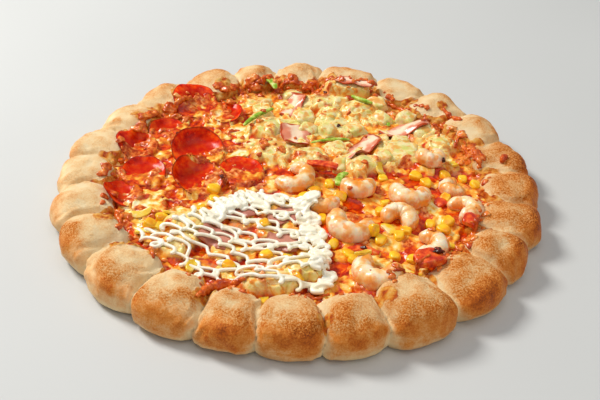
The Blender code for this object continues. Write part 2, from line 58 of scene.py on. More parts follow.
# Dough rim, as the solid has it
BUN_COUNT = 24
FIRST_BUN_DEG = -150.0
BUN_SHIFT_DEG = (0, 1, 2, 1, -1, -2, -3, 1, 0, -2, -4, -4, -2, -2, -2, 1, 1, 0, -1, 0, 2, 3, 1, 0)
BUN_REACH = (1, 1, 0, -3, -1, 0, 2, 2, 0, 1, 0, 0, 1, 0, -1, 0, 1, 0, 1, -1, 0, 1, 0, 0)
BUN_RISE = (0, 1, 2, 0, 2, 1, 2, -1, 1, 0, -1, -1, 0, 1, 0, 1, 1, 2, 0, 1, -1, -1, -2, -1)
CREASE_OUTER_RADIUS = 160.0
CREASE_INNER_RADIUS = 134.0
CREASE_TOP = 16.5
BUN_BULGE = 7.5
BUN_NOSE = 6.0
BUN_TOP = 26.0
BUN_FULLNESS = 0.58
CREST_FLATNESS = 0.8
FLOOR = 6.5
FOOT_INSET = 4.5
SIDE_HIGH = 10.0
INNER_SHOULDER = 12.5

# Fineness of the dough's mesh: steps round each bun, and rows over its section
BUN_STEPS = 44
SIDE_ROWS = 10
ARC_ROWS = 50
WALL_ROWS = 4
FIRST_ROW = 20  # where the line starts that is spun into the dough

# How far each bun is toasted, partly as painted shade: the front and right buns are darker, also for the
# shade on their sides away from the window; buns in order from the left front, round by the right
BUN_TOAST_AND_SHADE = (
    0.42, 0.48, 0.58, 0.72, 0.76, 0.58, 0.64, 0.82, 0.90, 0.98, 1.00, 0.86,
    0.42, 0.38, 0.40, 0.46, 0.50, 0.46, 0.50, 0.46, 0.36, 0.24, 0.26, 0.32,
)
SAUCE_DRIPS = (  # sauce boiled over the dough: x, y, radius
    (18, -151, 5), (-54, -136, 4), (-51, -130, 5), (-50, -123, 5), (54, -131, 7), (-123, -63, 7),
    (100, -84, 8), (-118, -50, 7), (133, 45, 5), (112, 92, 5), (-110, -88, 5), (-100, -85, 5),
    (-87, -96, 4), (-122, 66, 6), (-95, 100, 7), (-62, 122, 7), (-20, 134, 7), (25, 133, 7),
)
BUBBLED_EDGES = (  # cheese and sauce browned where they boiled up against the dough: plan points, thickness
    (((-55, -138), (-52, -131), (-50, -124), (-48, -118), (-44, -115), (-39, -115), (-34, -117),
      (-28, -119)), 7.0),
    (((145, 16), (147, 19), (149, 21)), 6.0),
    (((-93, -84), (-90, -88), (-87, -95), (-85, -101)), 4.5),
    (((0, -121), (7, -123), (14, -124), (21, -122)), 3.5),
    (((58, -112), (66, -108), (74, -103), (82, -97)), 3.5),
    (((112, 88), (119, 79), (124, 70)), 5.0),
    (((122, 36), (127, 30), (128, 22), (131, 14)), 5.0),
    (((70, 106), (80, 101), (88, 95)), 4.5),
    (((-112, -62), (-116, -54), (-120, -44)), 4.5),
    (((-40, 124), (-30, 127), (-18, 129), (-8, 130)), 5.5),
    (((-100, 82), (-94, 90), (-86, 98)), 5.5),
    (((108, -72), (114, -64), (118, -54)), 4.0),
)

# Sauce and melted cheese
CHEESE_TOP = 12.8
CHEESE_DOME = 2.2
WAVE_HEIGHT = 1.3
WAVE_LENGTH = 26.0
CHEESE_STEPS = 330
CHEESE_PATCHES = (  # where more cheese than sauce shows: x, y, radius
    (-62, 79, 9), (-46, 57, 10), (-124, 10, 10), (-115, -30, 10), (-59, -12, 8), (-98, -30, 12),
    (-90, -52, 18), (-118, 48, 8), (-72, -32, 12), (-92, 76, 8), (-55, 36, 8), (-108, -46, 10),
    (72, -104, 14), (-24, 84, 12), (98, -62, 8), (100, 30, 10), (-45, 30, 9), (28, -48, 8),
    (60, -72, 8), (88, -34, 7),
)
QUARTER_MIDDLE = (-10, 5)
QUARTERS_DEG = {"pepperoni": (110, 213), "potato": (8, 110), "shrimp": (-72, 8), "mayonnaise": (-147, -72)}

# Toppings as the solids have them: centre x and y, turn in degrees, then sizes
PEPPERONI = (  # radius, height of the cupped edge
    (-82, 97, 100, 19.0, 4.0), (-57, 84, 30, 14.0, 5.0), (-98, 56, 120, 16.0, 5.0),
    (-118, 33, 130, 16.0, 6.0), (-73, 27, 115, 21.0, 12.0), (-108, -1, 100, 17.0, 6.0),
    (-40, 3, 90, 17.5, 4.0), (-69, -10, 150, 20.0, 12.0), (-117, -28, 170, 14.0, 6.0),
    (-97, -42, 60, 12.5, 2.0),
)
PEPPERONI_COVER = (0.74, 0.56, 0.66, 0.55, 0.44, 0.50, 0.56, 0.42, 0.42, 1.60)  # share hidden by cheese
SHRIMP = (  # outer radius, thickness of the thick end
    (-3, -5, 150, 16.0, 12.0), (18, -33, 60, 13.0, 11.0), (42, -13, 100, 13.5, 12.0),
    (77, -22, 95, 15.5, 13.0), (36, -58, 75, 17.0, 14.0), (67, -50, 250, 13.5, 12.0),
    (83, -77, 170, 14.0, 12.0), (51, -103, 65, 17.0, 13.5), (110, -39, 200, 14.5, 12.0),
    (109, -10, 20, 11.5, 10.0), (95, 22, 120, 12.0, 11.0),
)
SHRIMP_MOUTH_DEG = 90.0
SHRIMP_STATIONS = 48
SHRIMP_SIDES = 18
POTATO = (  # length, width, height
    (-24, 62, 10, 21, 20, 7.5), (-17, 30, -15, 24, 20, 8), (8, 22, 20, 19, 17, 8),
    (15, 103, 5, 27, 15, 8), (38, 121, -8, 28, 12, 7), (46, 96, 35, 21, 16, 8.5),
    (23, 81, 80, 20, 14, 8.5), (75, 33, -10, 25, 19, 9), (94, 63, 20, 16, 14, 8.5),
    (105, 45, 55, 17, 15, 9), (46, 14, 40, 19, 16, 8.5), (-14, -115, 8, 26, 14, 8),
    (-74, -79, 60, 19, 15, 7), (-70, -57, 20, 20, 16, 7), (6, -103, 0, 17, 13, 6.5),
)
GOLDEN_FROM = 12  # this potato and the later ones lie under the mayonnaise
BACON = (  # length, width
    (-6, 98, 70, 30, 15), (-2, 48, 95, 28, 22), (45, 36, 50, 42, 16), (80, 66, 25, 38, 17),
    (44, 120, 165, 32, 11),
)
HAM = ((-40, -41, 15, 27, 22), (-50, -72, -20, 24, 20), (-8, -47, 30, 22, 18), (-8, -74, -10, 24, 19))
GREEN_COUNT = 6
RED_COUNT = 5

# Small things, which are in the looks alone
CHUNKS = (  # further chunks half sunk in the cheese: x, y, turn, length, width, height
    (3, 78, 20, 17, 14, 9), (24, 60, -20, 18, 15, 9), (42, 67, 35, 17, 14, 9), (60, 50, 10, 16, 14, 8),
    (64, 84, -30, 17, 14, 9), (-30, 84, 50, 14, 12, 8), (6, 60, 75, 14, 12, 8), (26, 40, 5, 16, 13, 8),
    (60, 104, 15, 16, 12, 9), (32, 101, 60, 14, 12, 9), (-6, 116, -10, 17, 12, 9), (-34, 44, 30, 13, 12, 7),
    (76, 48, -25, 14, 12, 8), (-26, 104, 40, 13, 11, 8), (84, 84, 30, 14, 12, 8), (62, 24, 40, 13, 12, 8),
    (30, 14, -35, 13, 11, 6),
)
BURNT_BITS = (  # x, y, size
    (43, -80, 3.4), (87, -93, 6.0), (90, -90, 4.5), (33, -24, 3.0), (103, 14, 3.6), (-52, -10, 4.0),
    (-98, -74, 3.0), (62, 60, 3.4), (20, 112, 3.4), (-90, 50, 4), (117, -26, 3.2), (60, -100, 3.0),
    (94, -62, 3.5), (30, 64, 3.0),
)
CRUMB_FIELDS = (  # first and last angle, number, smallest and largest size, nearness to the rim
    (110, 213, 84, 3.0, 6.6, 0.40), (8, 110, 90, 2.0, 5.2, 0.80), (-72, 8, 70, 1.6, 4.6, 0.75),
    (-147, -72, 26, 1.6, 4.0, 0.90), (62, 112, 70, 3.4, 7.2, 1.0), (8, 38, 44, 3.0, 6.6, 1.0),
    (118, 160, 60, 3.2, 7.0, 1.0), (-40, -26, 22, 2.6, 5.6, 1.0),
)
CORN = (
    (117, 5), (124, -3), (88, -50), (54, -71), (66, -66), (12, -18), (29, -24), (17, -50), (33, -83),
    (62, -84), (60, -30), (96, -58), (-88, -52), (-94, -60), (104, 8), (60, 2), (90, -4), (84, 6),
    (22, -10), (49, -66), (71, -60), (5, -27), (99, -50), (73, -88), (-55, -33), (-20, -58), (-62, -42),
    (-18, -88), (-40, -98), (-4, -92), (24, -74), (56, -40), (102, -20), (-57, -22), (36, -90), (2, -112),
)
SLIVERS = (  # strips of yellow pepper and onion: x, y, turn, length, width
    (-102, -50, 20, 16, 5), (-80, -47, 10, 19, 6), (-88, -57, -10, 14, 5), (-18, -128, -15, 14, 6),
    (-97, -66, 40, 12, 5), (42, -92, 20, 11, 7), (60, -58, 10, 12, 7), (-62, -100, -20, 13, 6),
    (70, -100, 10, 16, 3.5), (98, -70, 50, 10, 5), (112, 20, 80, 10, 5), (58, 10, 30, 13, 6),
    (-30, -100, 15, 12, 5),
)
SLIVER_THICKNESS = 2.0

# Mayonnaise: the strands run round the pizza from start to end, pass after pass
MAYO_START_DEG = -145.0
MAYO_END_DEG = -79.0
MAYO_INNER_RADIUS = 33.0
MAYO_OUTER_RADIUS = 120.0
MAYO_PASSES = 12
MAYO_WAVE_LENGTH = 12.5
MAYO_THICKNESS = 2.35
MAYO_HEAPS = (  # where curls pile up: angle, first and last radius, half width, number
    (-81.5, 33.0, 122.0, 5.5, 44), (-139.0, 38.0, 80.0, 5.0, 16), (-125.0, 32.0, 48.0, 6.0, 9),
    (-100.0, 31.0, 37.0, 7.0, 4),
)

# The photograph's camera
AIM = (2.448, -6.894, 0.0)
CAMERA_DISTANCE = 608.69
ABOVE_TABLE_DEG = 35.45
ROLL = 0.0277
FOCAL_LENGTH = 51.62
SENSOR_WIDTH = 36.0


# Mesh helpers

def pick(made):
    """Makes one object the only selected and active one."""
    bpy.ops.object.select_all(action="DESELECT")
    made.select_set(True)
    bpy.context.view_layer.objects.active = made


@contextmanager
def editing(made, chosen=None):
    """Edit mode on one piece with all its points selected, or only the chosen ones."""
    pick(made)
    bpy.ops.object.mode_set(mode="EDIT")
    bpy.ops.mesh.select_mode(type="VERT")
    bpy.ops.mesh.select_all(action="SELECT" if chosen is None else "DESELECT")
    if chosen is not None:
        bpy.ops.object.mode_set(mode="OBJECT")
        made.data.vertices.foreach_set("select", chosen)
        bpy.ops.object.mode_set(mode="EDIT")
    yield
    bpy.ops.object.mode_set(mode="OBJECT")


def named(name):
    made = bpy.context.object
    made.name = name
    made.data.name = name
    return made


def new_piece(name, add_primitive, **sizes):
    """Adds a primitive with nothing else selected, and names it."""
    bpy.ops.object.select_all(action="DESELECT")
    add_primitive(**sizes)
    return named(name)


def read(made, kind):
    flat = np.empty(len(made.data.vertices) * 3, dtype=np.float32)
    made.data.vertices.foreach_get(kind, flat)
    return flat.reshape(-1, 3).astype(float)


def points_of(made):
    return read(made, "co") / MM


def move_points(made, points):
    made.data.vertices.foreach_set("co", (points * MM).astype(np.float32).ravel())
    made.data.update()


def note(made, **numbers):
    """Keeps numbers for each point, which a material reads by their name."""
    for name, values in numbers.items():
        layer = made.data.attributes.get(name) or made.data.attributes.new(name, "FLOAT", "POINT")
        layer.data.foreach_set("value", np.asarray(values, dtype=np.float32))


def lumps(points, length, seed=0.0):
    """Smooth noise from -1 to 1 at each point, with lumps about length across."""
    return np.array([noise.noise((x, y, z + seed)) for x, y, z in (points / length).tolist()])


def flat_lumps(x, y, length, seed=0.0):
    return lumps(np.column_stack((x, y, np.zeros(len(x)))), length, seed)


def smooth_step(low, high, value):
    share = np.clip((value - low) / (high - low), 0.0, 1.0)
    return share * share * (3 - 2 * share)


def blend_to(start, end, share):
    return start + (end - start) * share


def off(x, y, a, b, size):
    """How far each point is from the place a, b, in sizes of what is there."""
    return np.hypot(x - a, y - b) / size


def turned_to(dx, dy, degrees):
    """Distances along and across a direction."""
    cos, sin = math.cos(math.radians(degrees)), math.sin(math.radians(degrees))
    return dx * cos + dy * sin, -dx * sin + dy * cos


def modify(made, kind, **settings):
    """Adds a modifier and applies it at once."""
    pick(made)
    modifier = made.modifiers.new(kind.lower(), kind)
    for key, value in settings.items():
        setattr(modifier, key, value)
    bpy.ops.object.modifier_apply(modifier=modifier.name)


def close_up(made):
    """Merges doubled points and turns all faces outwards."""
    with editing(made):
        bpy.ops.mesh.remove_doubles(threshold=0.02 * MM)
        bpy.ops.mesh.normals_make_consistent(inside=False)


def run_together(made, voxel):
    modify(made, "REMESH", mode="VOXEL", voxel_size=voxel * MM)


def finish(made, finish_material, slot, *nodes):
    """Gives a piece its finish, hangs it under the root body, and hides the nodes it stands for."""
    made.data.materials.clear()
    made.data.materials.append(finish_material)
    made.data.shade_smooth()
    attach(made, "root")
    if nodes:
        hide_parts(*nodes)
    return made


def refined_copy(node, levels, simple=0):
    """A merged copy of a solid, rounded by subdivision, after plain cuts that keep its form."""
    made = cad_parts[node].copy()
    made.data = made.data.copy()
    made.name = node + "_cooked"
    bpy.context.scene.collection.objects.link(made)
    close_up(made)
    with editing(made):
        bpy.ops.mesh.tris_convert_to_quads(face_threshold=math.radians(50), shape_threshold=math.radians(50))
    if simple:
        modify(made, "SUBSURF", subdivision_type="SIMPLE", levels=simple, render_levels=simple)
    modify(made, "SUBSURF", levels=levels, render_levels=levels)
    return made


def soft_block(name, cuts, levels):
    """A block of 1 mm with rounded edges, to be drawn out to its real form."""
    made = new_piece(name, bpy.ops.mesh.primitive_cube_add, size=MM)
    with editing(made):
        bpy.ops.mesh.subdivide(number_cuts=cuts)
    modify(made, "SUBSURF", levels=levels, render_levels=levels)
    return made


def model_arrays(made):
    """The points and triangles of a modelled piece, which is then removed."""
    with editing(made):
        bpy.ops.mesh.quads_convert_to_tris()
    points = points_of(made)
    triangles = np.array([list(polygon.vertices) for polygon in made.data.polygons])
    bpy.data.objects.remove(made)
    return points, triangles


def scattered(name, models, places):
    """One mesh from many copies of a few models: places are (model, matrix, shade)."""
    points, faces, shades = [], [], []
    count = 0
    for number, matrix, shade in places:
        own_points, own_faces = models[number]
        points.append(own_points @ np.array(matrix.to_3x3()).T + np.array(matrix.translation))
        faces.append(own_faces + count)
        shades.append(np.full(len(own_points), shade))
        count += len(own_points)
    mesh = bpy.data.meshes.new(name)
    mesh.from_pydata((np.concatenate(points) * MM).tolist(), [], np.concatenate(faces).tolist())
    made = bpy.data.objects.new(name, mesh)
    bpy.context.scene.collection.objects.link(made)
    note(made, shade=np.concatenate(shades))
    return made


def tubes(name, strands, voxel):
    """Strands of (points, thickness), each point x, y, z and swell, run together into one mesh."""
    parts = []
    for points, thick in strands:
        curve = bpy.data.curves.new("strand", "CURVE")
        curve.dimensions = "3D"
        curve.bevel_depth = thick / 2 * MM
        curve.bevel_resolution = 3
        curve.use_fill_caps = True
        spline = curve.splines.new("POLY")
        spline.points.add(len(points) - 1)
        for point, (x, y, z, swell) in zip(spline.points, points):
            point.co = (x * MM, y * MM, z * MM, 1.0)
            point.radius = swell
        part = bpy.data.objects.new("strand", curve)
        bpy.context.scene.collection.objects.link(part)
        parts.append(part)
    pick(parts[0])
    for part in parts:
        part.select_set(True)
    bpy.ops.object.convert(target="MESH")
    bpy.ops.object.join()
    made = named(name)
    run_together(made, voxel)
    return made


class Ground:
    """The surfaces that small things lie on."""

    def __init__(self, pieces):
        self.trees = []
        for piece in pieces:
            points = points_of(piece)
            polygons = [list(polygon.vertices) for polygon in piece.data.polygons]
            polygons = [corners for corners in polygons if len(corners) < 9]
            tree = BVHTree.FromPolygons(points.tolist(), polygons)
            box = (*points[:, :2].min(axis=0), *points[:, :2].max(axis=0))
            self.trees.append((tree, box))

    def over(self, x, y):
        """The highest place over a point of the plan, or None, and its normal."""
        x, y = x + MIDDLE[0], y + MIDDLE[1]
        best, facing = None, Vector((0, 0, 1))
        for tree, (left, front, right, back) in self.trees:
            if left <= x <= right and front <= y <= back:
                place, normal, index, distance = tree.ray_cast(Vector((x, y, 200.0)), Vector((0, 0, -1)))
                if place is not None and (best is None or place.z > best.z):
                    best, facing = Vector((x, y, place.z)), normal
        return best, facing


def lying(place, normal, size, turn, sink, lean=0.6):
    """The matrix of a small thing that lies on a surface."""
    up = Vector((0, 0, 1)).lerp(normal, lean).normalized()
    tilt = up.to_track_quat("Z", "Y").to_matrix().to_4x4()
    shift = Matrix.Translation(place + up * size * sink)
    return shift @ tilt @ Matrix.Rotation(turn, 4, "Z") @ Matrix.Scale(size, 4)


# Material helpers

def linear(code):
    """The linear colour of an sRGB hex value."""
    channels = [int(code[k:k + 2], 16) / 255 for k in (1, 3, 5)]
    return tuple(c / 12.92 if c <= 0.04045 else ((c + 0.055) / 1.055) ** 2.4 for c in channels) + (1.0,)


def per(size):
    """How often a pattern of a size in mm comes in a metre."""
    return 1 / (size * MM)


def adjust(tree, node, inputs, settings):
    """Gives a node its options, then its inputs in order or by name: each is a link or a value."""
    options = [key for key in settings if hasattr(node, key)]
    for key in options:
        setattr(node, key, settings[key])
    sockets = [socket for socket in node.inputs if socket.enabled]
    by_name = {socket.name: socket for socket in reversed(sockets)}
    chosen = list(zip(sockets, inputs))
    chosen += [(by_name[key.replace("_", " ")], settings[key]) for key in settings if key not in options]
    for socket, value in chosen:
        if isinstance(value, bpy.types.NodeSocket):
            tree.links.new(value, socket)
        else:
            socket.default_value = linear(value) if isinstance(value, str) else value


def add_node(tree, kind, *inputs, out=None, stops=(), **settings):
    """Adds a node with its settings, links and colour stops, and gives its output."""
    node = tree.nodes.new("ShaderNode" + kind)
    adjust(tree, node, inputs, settings)
    if stops:
        elements = node.color_ramp.elements
        while len(elements) < len(stops):
            elements.new(1.0)
        for element, (place, colour) in zip(elements, stops):
            element.position = place
            element.color = linear(colour)
    return node.outputs[out] if out else next(socket for socket in node.outputs if socket.enabled)


def start_material(name, *notes):
    """A new material: its way to add nodes, the object coordinates, and the noted numbers that it reads."""
    made = bpy.data.materials.new(name)
    made.use_nodes = True
    add = partial(add_node, made.node_tree)
    where = add("TexCoord", out="Object")
    return (made, add, where, *(add("Attribute", attribute_name=key, out="Fac") for key in notes))


def complete(made, colour, relief=None, strength=0.0, depth=0.0, **settings):
    """Gives the shader its colour, relief of a depth in mm, and its constants."""
    tree = made.node_tree
    if relief is not None:
        settings["Normal"] = add_node(tree, "Bump", Strength=strength, Distance=depth * MM, Height=relief)
    adjust(tree, tree.nodes["Principled BSDF"], (), {"Base_Color": colour, **settings})
    return made


# Dough

def rim_at(degrees):
    """For each angle its bun's number, the share from crease (-1) over crest (0) to crease (1), and swell."""
    centres = FIRST_BUN_DEG + np.arange(BUN_COUNT) * 360.0 / BUN_COUNT + BUN_SHIFT_DEG
    ends = (centres + np.append(centres[1:], centres[0] + 360)) / 2
    starts = np.insert(ends, 0, ends[-1] - 360)
    turned = (degrees - starts[0]) % 360 + starts[0]
    number = np.clip(np.searchsorted(starts, turned, side="right") - 1, 0, BUN_COUNT - 1)
    centre = centres[number]
    before, after = centre - starts[number], starts[number + 1] - centre
    share = (turned - centre) / np.where(turned < centre, before, after)
    swell = np.maximum(0.0, 1 - share * share) ** BUN_FULLNESS
    return number, share, swell


def spin_dough():
    """A line of points, spun round: each point knows its row by its distance from the middle."""
    made = new_piece("baked_dough_rim", bpy.ops.mesh.primitive_plane_add, size=MM,
                     location=(FIRST_ROW * MM, 0, 0))
    bpy.ops.object.transform_apply(location=True)
    with editing(made):
        bpy.ops.mesh.merge(type="CENTER")
        for row in range(SIDE_ROWS + ARC_ROWS + WALL_ROWS + 3):
            bpy.ops.mesh.extrude_vertices_move(TRANSFORM_OT_translate={"value": (MM, 0, 0)})
    steps = BUN_COUNT * BUN_STEPS
    modify(made, "SCREW", steps=steps, render_steps=steps, use_merge_vertices=True, merge_threshold=0.01 * MM)
    return made


def make_dough(dough_material):
    """The base and the rim, spun from a line and then drawn out to the buns."""
    made = spin_dough()
    flat = points_of(made)
    row = np.rint(np.hypot(flat[:, 0], flat[:, 1]) - FIRST_ROW).astype(int)
    angle = np.arctan2(flat[:, 1], flat[:, 0])
    cos, sin = np.cos(angle), np.sin(angle)
    level = np.clip((row - 2) / (SIDE_ROWS + ARC_ROWS), 0, 1)
    wander = 2.6 * lumps(np.column_stack((cos * 7, sin * 7, level * 2.2)), 1.0, 33.0)
    number, share, swell = rim_at(np.degrees(angle) + wander * smooth_step(0.02, 0.25, level))

    # the section: underside, outer side, arc over the crest, wall inside, and the floor under the sauce
    outer = CREASE_OUTER_RADIUS + (BUN_BULGE + np.array(BUN_REACH)[number]) * swell
    inner = CREASE_INNER_RADIUS - BUN_NOSE * swell
    top = CREASE_TOP + (BUN_TOP - CREASE_TOP + np.array(BUN_RISE)[number]) * swell
    middle, half = (outer + inner) / 2, (outer - inner) / 2
    first_arc, first_wall = 2 + SIDE_ROWS, 2 + SIDE_ROWS + ARC_ROWS
    side, arc = (row > 1) & (row < first_arc), (row >= first_arc) & (row < first_wall)
    wall, floor = (row >= first_wall) & (row < first_wall + WALL_ROWS), row >= first_wall + WALL_ROWS
    climbed = (row - 2) / SIDE_ROWS
    turn = np.where(arc, math.pi * (row - first_arc) / (ARC_ROWS - 1), 0.0)
    shoulder = blend_to(SIDE_HIGH, INNER_SHOULDER, turn / math.pi)
    fall = (row - first_wall + 1) / WALL_ROWS
    radius = np.select(
        (side, arc, wall, row == row.max(), floor, row == 1),
        (outer - FOOT_INSET * (1 - climbed) ** 3, middle + half * np.cos(turn), inner - 1.0 * fall,
         0.0, 60.0, 100.0))
    height = np.select(
        (side, arc, wall, floor),
        (SIDE_HIGH * climbed, shoulder + (top - shoulder) * np.abs(np.sin(turn)) ** CREST_FLATNESS,
         blend_to(INNER_SHOULDER, FLOOR, fall), FLOOR))
    x, y = radius * cos, radius * sin
    points = np.column_stack((x, y, height))

    # swellings, folds at the pinches, and cheese and sauce baked on to the inner faces
    lift = np.clip(height / 4, 0, 1)
    outward = np.column_stack(((radius - middle) * cos, (radius - middle) * sin,
                               np.maximum(height - SIDE_HIGH * 0.8, 0)))
    outward /= np.maximum(np.linalg.norm(outward, axis=1), 0.001)[:, None]
    broad, big, knobs = lumps(points, 31, 55.0), lumps(points, 19, 1.0), lumps(points, 12, 25.0)
    mid, small, tiny = lumps(points, 7, 5.0), lumps(points, 2.6, 9.0), lumps(points, 1.7, 15.0)
    relief = 1.6 * broad + 1.8 * big + 1.1 * knobs + 0.75 * mid + 0.22 * small + 0.16 * tiny
    relief += 2.2 * smooth_step(2.0, 2.8, turn) * swell ** 2 * (0.5 + big)
    folds = np.sin(share * 17 + 7 * big) * np.exp(-((1 - np.abs(share)) / 0.30) ** 2) * lift
    climb = 17.6 + 3.8 * flat_lumps(x, y, 17, 2.0) + 3.4 * flat_lumps(x, y, 6, 7.0)
    climb += 3.4 * sin + 5.0 * (1 - swell) ** 1.5
    film = smooth_step(1.45, 2.2, turn) * smooth_step(-0.8, 0.8, climb - height)
    for a, b, size in SAUCE_DRIPS:
        ragged = off(x, y, a, b, size) + 0.45 * mid + 0.25 * small
        film = np.maximum(film, smooth_step(1.1, 0.75, ragged) * smooth_step(9, 12, height))
    film = np.where(height < INNER_SHOULDER * 0.75, 0.0, film)
    bubbles = np.abs(lumps(points, 4.2, 12.0))
    relief = relief * (1 - 0.5 * film) + film * (0.6 + 2.2 * bubbles) + folds
    points += outward * (relief * lift * (side | arc))[:, None]
    points[:, 2] = np.maximum(points[:, 2], 0.0)
    points[:, :2] += MIDDLE
    move_points(made, points)

    # toast: most on the crests and the outer side, least in the creases and towards the sauce; each bun's own
    # amount also holds painted shade, darker on the front and right
    high = np.clip((height - 6) / 20, 0, 1)
    crest = smooth_step(-0.12, 0.82, swell) * smooth_step(-0.55, 0.50, high)
    inner_crest = smooth_step(0.10, 0.95, swell) * smooth_step(0.20, 0.95, high)
    crest = blend_to(crest, inner_crest, 0.75 * smooth_step(1.2, 2.0, turn))
    facing = np.exp(-((turn - 0.45) / 0.55) ** 2) * arc + side * smooth_step(0, 10, height) * 0.82
    toast = 0.02 + 1.08 * np.array(BUN_TOAST_AND_SHADE)[number] * crest * (0.56 + 0.50 * facing)
    toast += (0.20 * big + 0.22 * knobs + 0.14 * mid + 0.08 * broad) * crest
    toast += 0.16 * smooth_step(0.15, 0.6, lumps(points, 12, 21.0)) * crest
    toast -= 0.20 * smooth_step(1.9, 2.7, turn)
    toast = np.where(toast > 0.56, 0.56 + 0.38 * (toast - 0.56), toast)
    note(made, toast=toast, film=film, smooth_side=smooth_step(1.05, 0.55, turn + 0.35 * big) * (arc | side))
    close_up(made)
    return finish(made, dough_material, "dough", "dough_crust")


def dough_finish():
    """Baked wheat dough dusted with coarse meal: matte, pale where it was pinched, grainy where toasted."""
    made, add, where, toast, film, plain = start_material("baked_wheat_dough", "toast", "film", "smooth_side")
    grain = add("TexNoise", Vector=where, Scale=per(1.1), Detail=3.0, Roughness=0.8)
    blotch = add("TexNoise", Vector=where, Scale=per(8), Detail=4.0, Roughness=0.6)
    # coarse meal stands out most on the toasted crests, and the outer side is smooth
    grainy = add("MapRange", plain, To_Min=0.95, To_Max=0.24)
    weight = add("Math", toast, grainy, 0.10, operation="MULTIPLY_ADD")
    speck = add("MapRange", grain, From_Min=0.38, From_Max=0.62, To_Min=-0.32, To_Max=0.32)
    speck = add("Math", speck, weight, operation="MULTIPLY")
    patch = add("Math", blotch, 0.62, -0.31, operation="MULTIPLY_ADD")
    # the toast number also carries painted shade for the front and right buns, so these come out darker
    tone = add("Math", toast, patch, operation="ADD")
    tone = add("Math", tone, speck, operation="ADD")
    colour = add("ValToRGB", tone, stops=(
        (0.0, "#FAE0B2"), (0.20, "#F6D098"), (0.40, "#ECB274"), (0.58, "#DE8A36"), (0.74, "#C8640C"),
        (0.90, "#9C460A"), (1.0, "#6C2C08")))
    # the film of sauce and cheese that baked on to the inner faces is golden, oily and glossier
    crusted = add("TexNoise", Vector=where, Scale=per(5), Detail=4.0)
    film_colour = add("ValToRGB", crusted, stops=(
        (0.26, "#9A2E06"), (0.37, "#C4500E"), (0.46, "#DE7E20"), (0.55, "#EEA442"), (0.68, "#F4C272")))
    covered = add("MapRange", film, interpolation_type="SMOOTHSTEP", From_Min=0.25, From_Max=0.7)
    both = add("Mix", covered, colour, film_colour, data_type="RGBA")
    rough = add("Mix", covered, add("MapRange", plain, To_Min=0.80, To_Max=0.50), 0.30)
    strength = add("MapRange", plain, To_Min=0.95, To_Max=0.45)
    return complete(made, both, relief=grain, strength=strength, depth=1.4, Roughness=rough,
                    Specular_IOR_Level=0.22)


# Cheese and sauce

def quarter_weights(x, y):
    """How much each point belongs to each quarter, with soft uneven borders."""
    degrees = np.degrees(np.arctan2(y - QUARTER_MIDDLE[1], x - QUARTER_MIDDLE[0]))
    degrees = degrees + 9 * flat_lumps(x, y, 22, 31.0)
    weights = {}
    for name, (start, end) in QUARTERS_DEG.items():
        centre, half = (start + end) / 2, (end - start) / 2
        away = np.abs((degrees - centre + 180) % 360 - 180)
        weights[name] = smooth_step(half + 4, half - 4, away)
    return weights


def cells(x, y, size, seed):
    """Round bumps, from 0 between them to 1 on top, one in each cell of about size."""
    found = [noise.voronoi((a, b, seed))[0][0] for a, b in zip((x / size).tolist(), (y / size).tolist())]
    return np.sqrt(np.clip(1 - (np.array(found) / 0.62) ** 2, 0, 1))


def box_height(node):
    """The lowest and the highest point of a solid."""
    low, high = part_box(node)
    return low[2] / MM, high[2] / MM


def chunk_relief(x, y, size):
    """Flat-topped chunks under melted cheese: the share of a chunk and its height."""
    share, rise = np.zeros(len(x)), np.zeros(len(x))
    for k, (a, b) in enumerate(zip((x / size).tolist(), (y / size).tolist())):
        away, spots = noise.voronoi((a, b, 2.7))
        spot = spots[0]
        own = noise.noise((spot.x * 9.1, spot.y * 9.1, 3.0))
        if own < -0.12:
            continue
        lean = (a - spot.x) * noise.noise((spot.x * 5, spot.y * 5, 8.0)) + (b - spot.y) * own
        share[k] = away[1] - away[0]
        rise[k] = 4.2 + 3.2 * own + 7.0 * lean
    return smooth_step(0.05, 0.19, share), rise


def potato_mounds(x, y, height, mid, wide):
    """Cheese that rises round each chunk and runs over some; also where the mounds are."""
    base, mounds = height.copy(), np.zeros(len(x))
    for k, (a, b, turn, length, width, tall) in enumerate(POTATO, 1):
        high = box_height("potato_%d" % k)[1]
        along, across = turned_to(x - a, y - b, turn)
        along, across = along / (length / 2 + 0.5), across / (width / 2 + 0.5)
        out = (np.abs(along) ** 3 + np.abs(across) ** 3) ** (1 / 3) + 0.14 * mid
        covered = smooth_step(-0.15, 0.35, wide + 0.7 * mid)
        mound = base + np.maximum(high - 1.6 - base, 0) * smooth_step(1.65, 0.95, out)
        mound += blend_to(-1.2, 1.5, covered) * smooth_step(1.12, 0.85, out)
        height = np.maximum(height, mound)
        mounds = np.maximum(mounds, smooth_step(1.5, 1.05, out))
    return height, mounds


def pepperoni_cover(x, y, height, mid, fine, ground):
    """Cheese and crumbs run over the low side of each slice; also where they cover it."""
    shown = np.zeros(len(x))
    for (a, b, turn, radius, cup), share in zip(PEPPERONI, PEPPERONI_COVER):
        lean = turned_to(x - a, y - b, turn)[0] / radius
        cover = smooth_step(-0.12, 0.12, 2.1 * share - 1.05 - lean + 0.42 * mid + 0.2 * fine)
        for k in np.nonzero((off(x, y, a, b, radius) < 1.12) & (cover > 0.02))[0]:
            place, normal = ground.over(x[k], y[k])
            if place is None:
                continue
            lifted = place.z + 1.7 * cover[k] - 1.1 + 0.6 * fine[k]
            if lifted > height[k]:
                height[k] = lifted
                shown[k] = cover[k]
    return height, shown


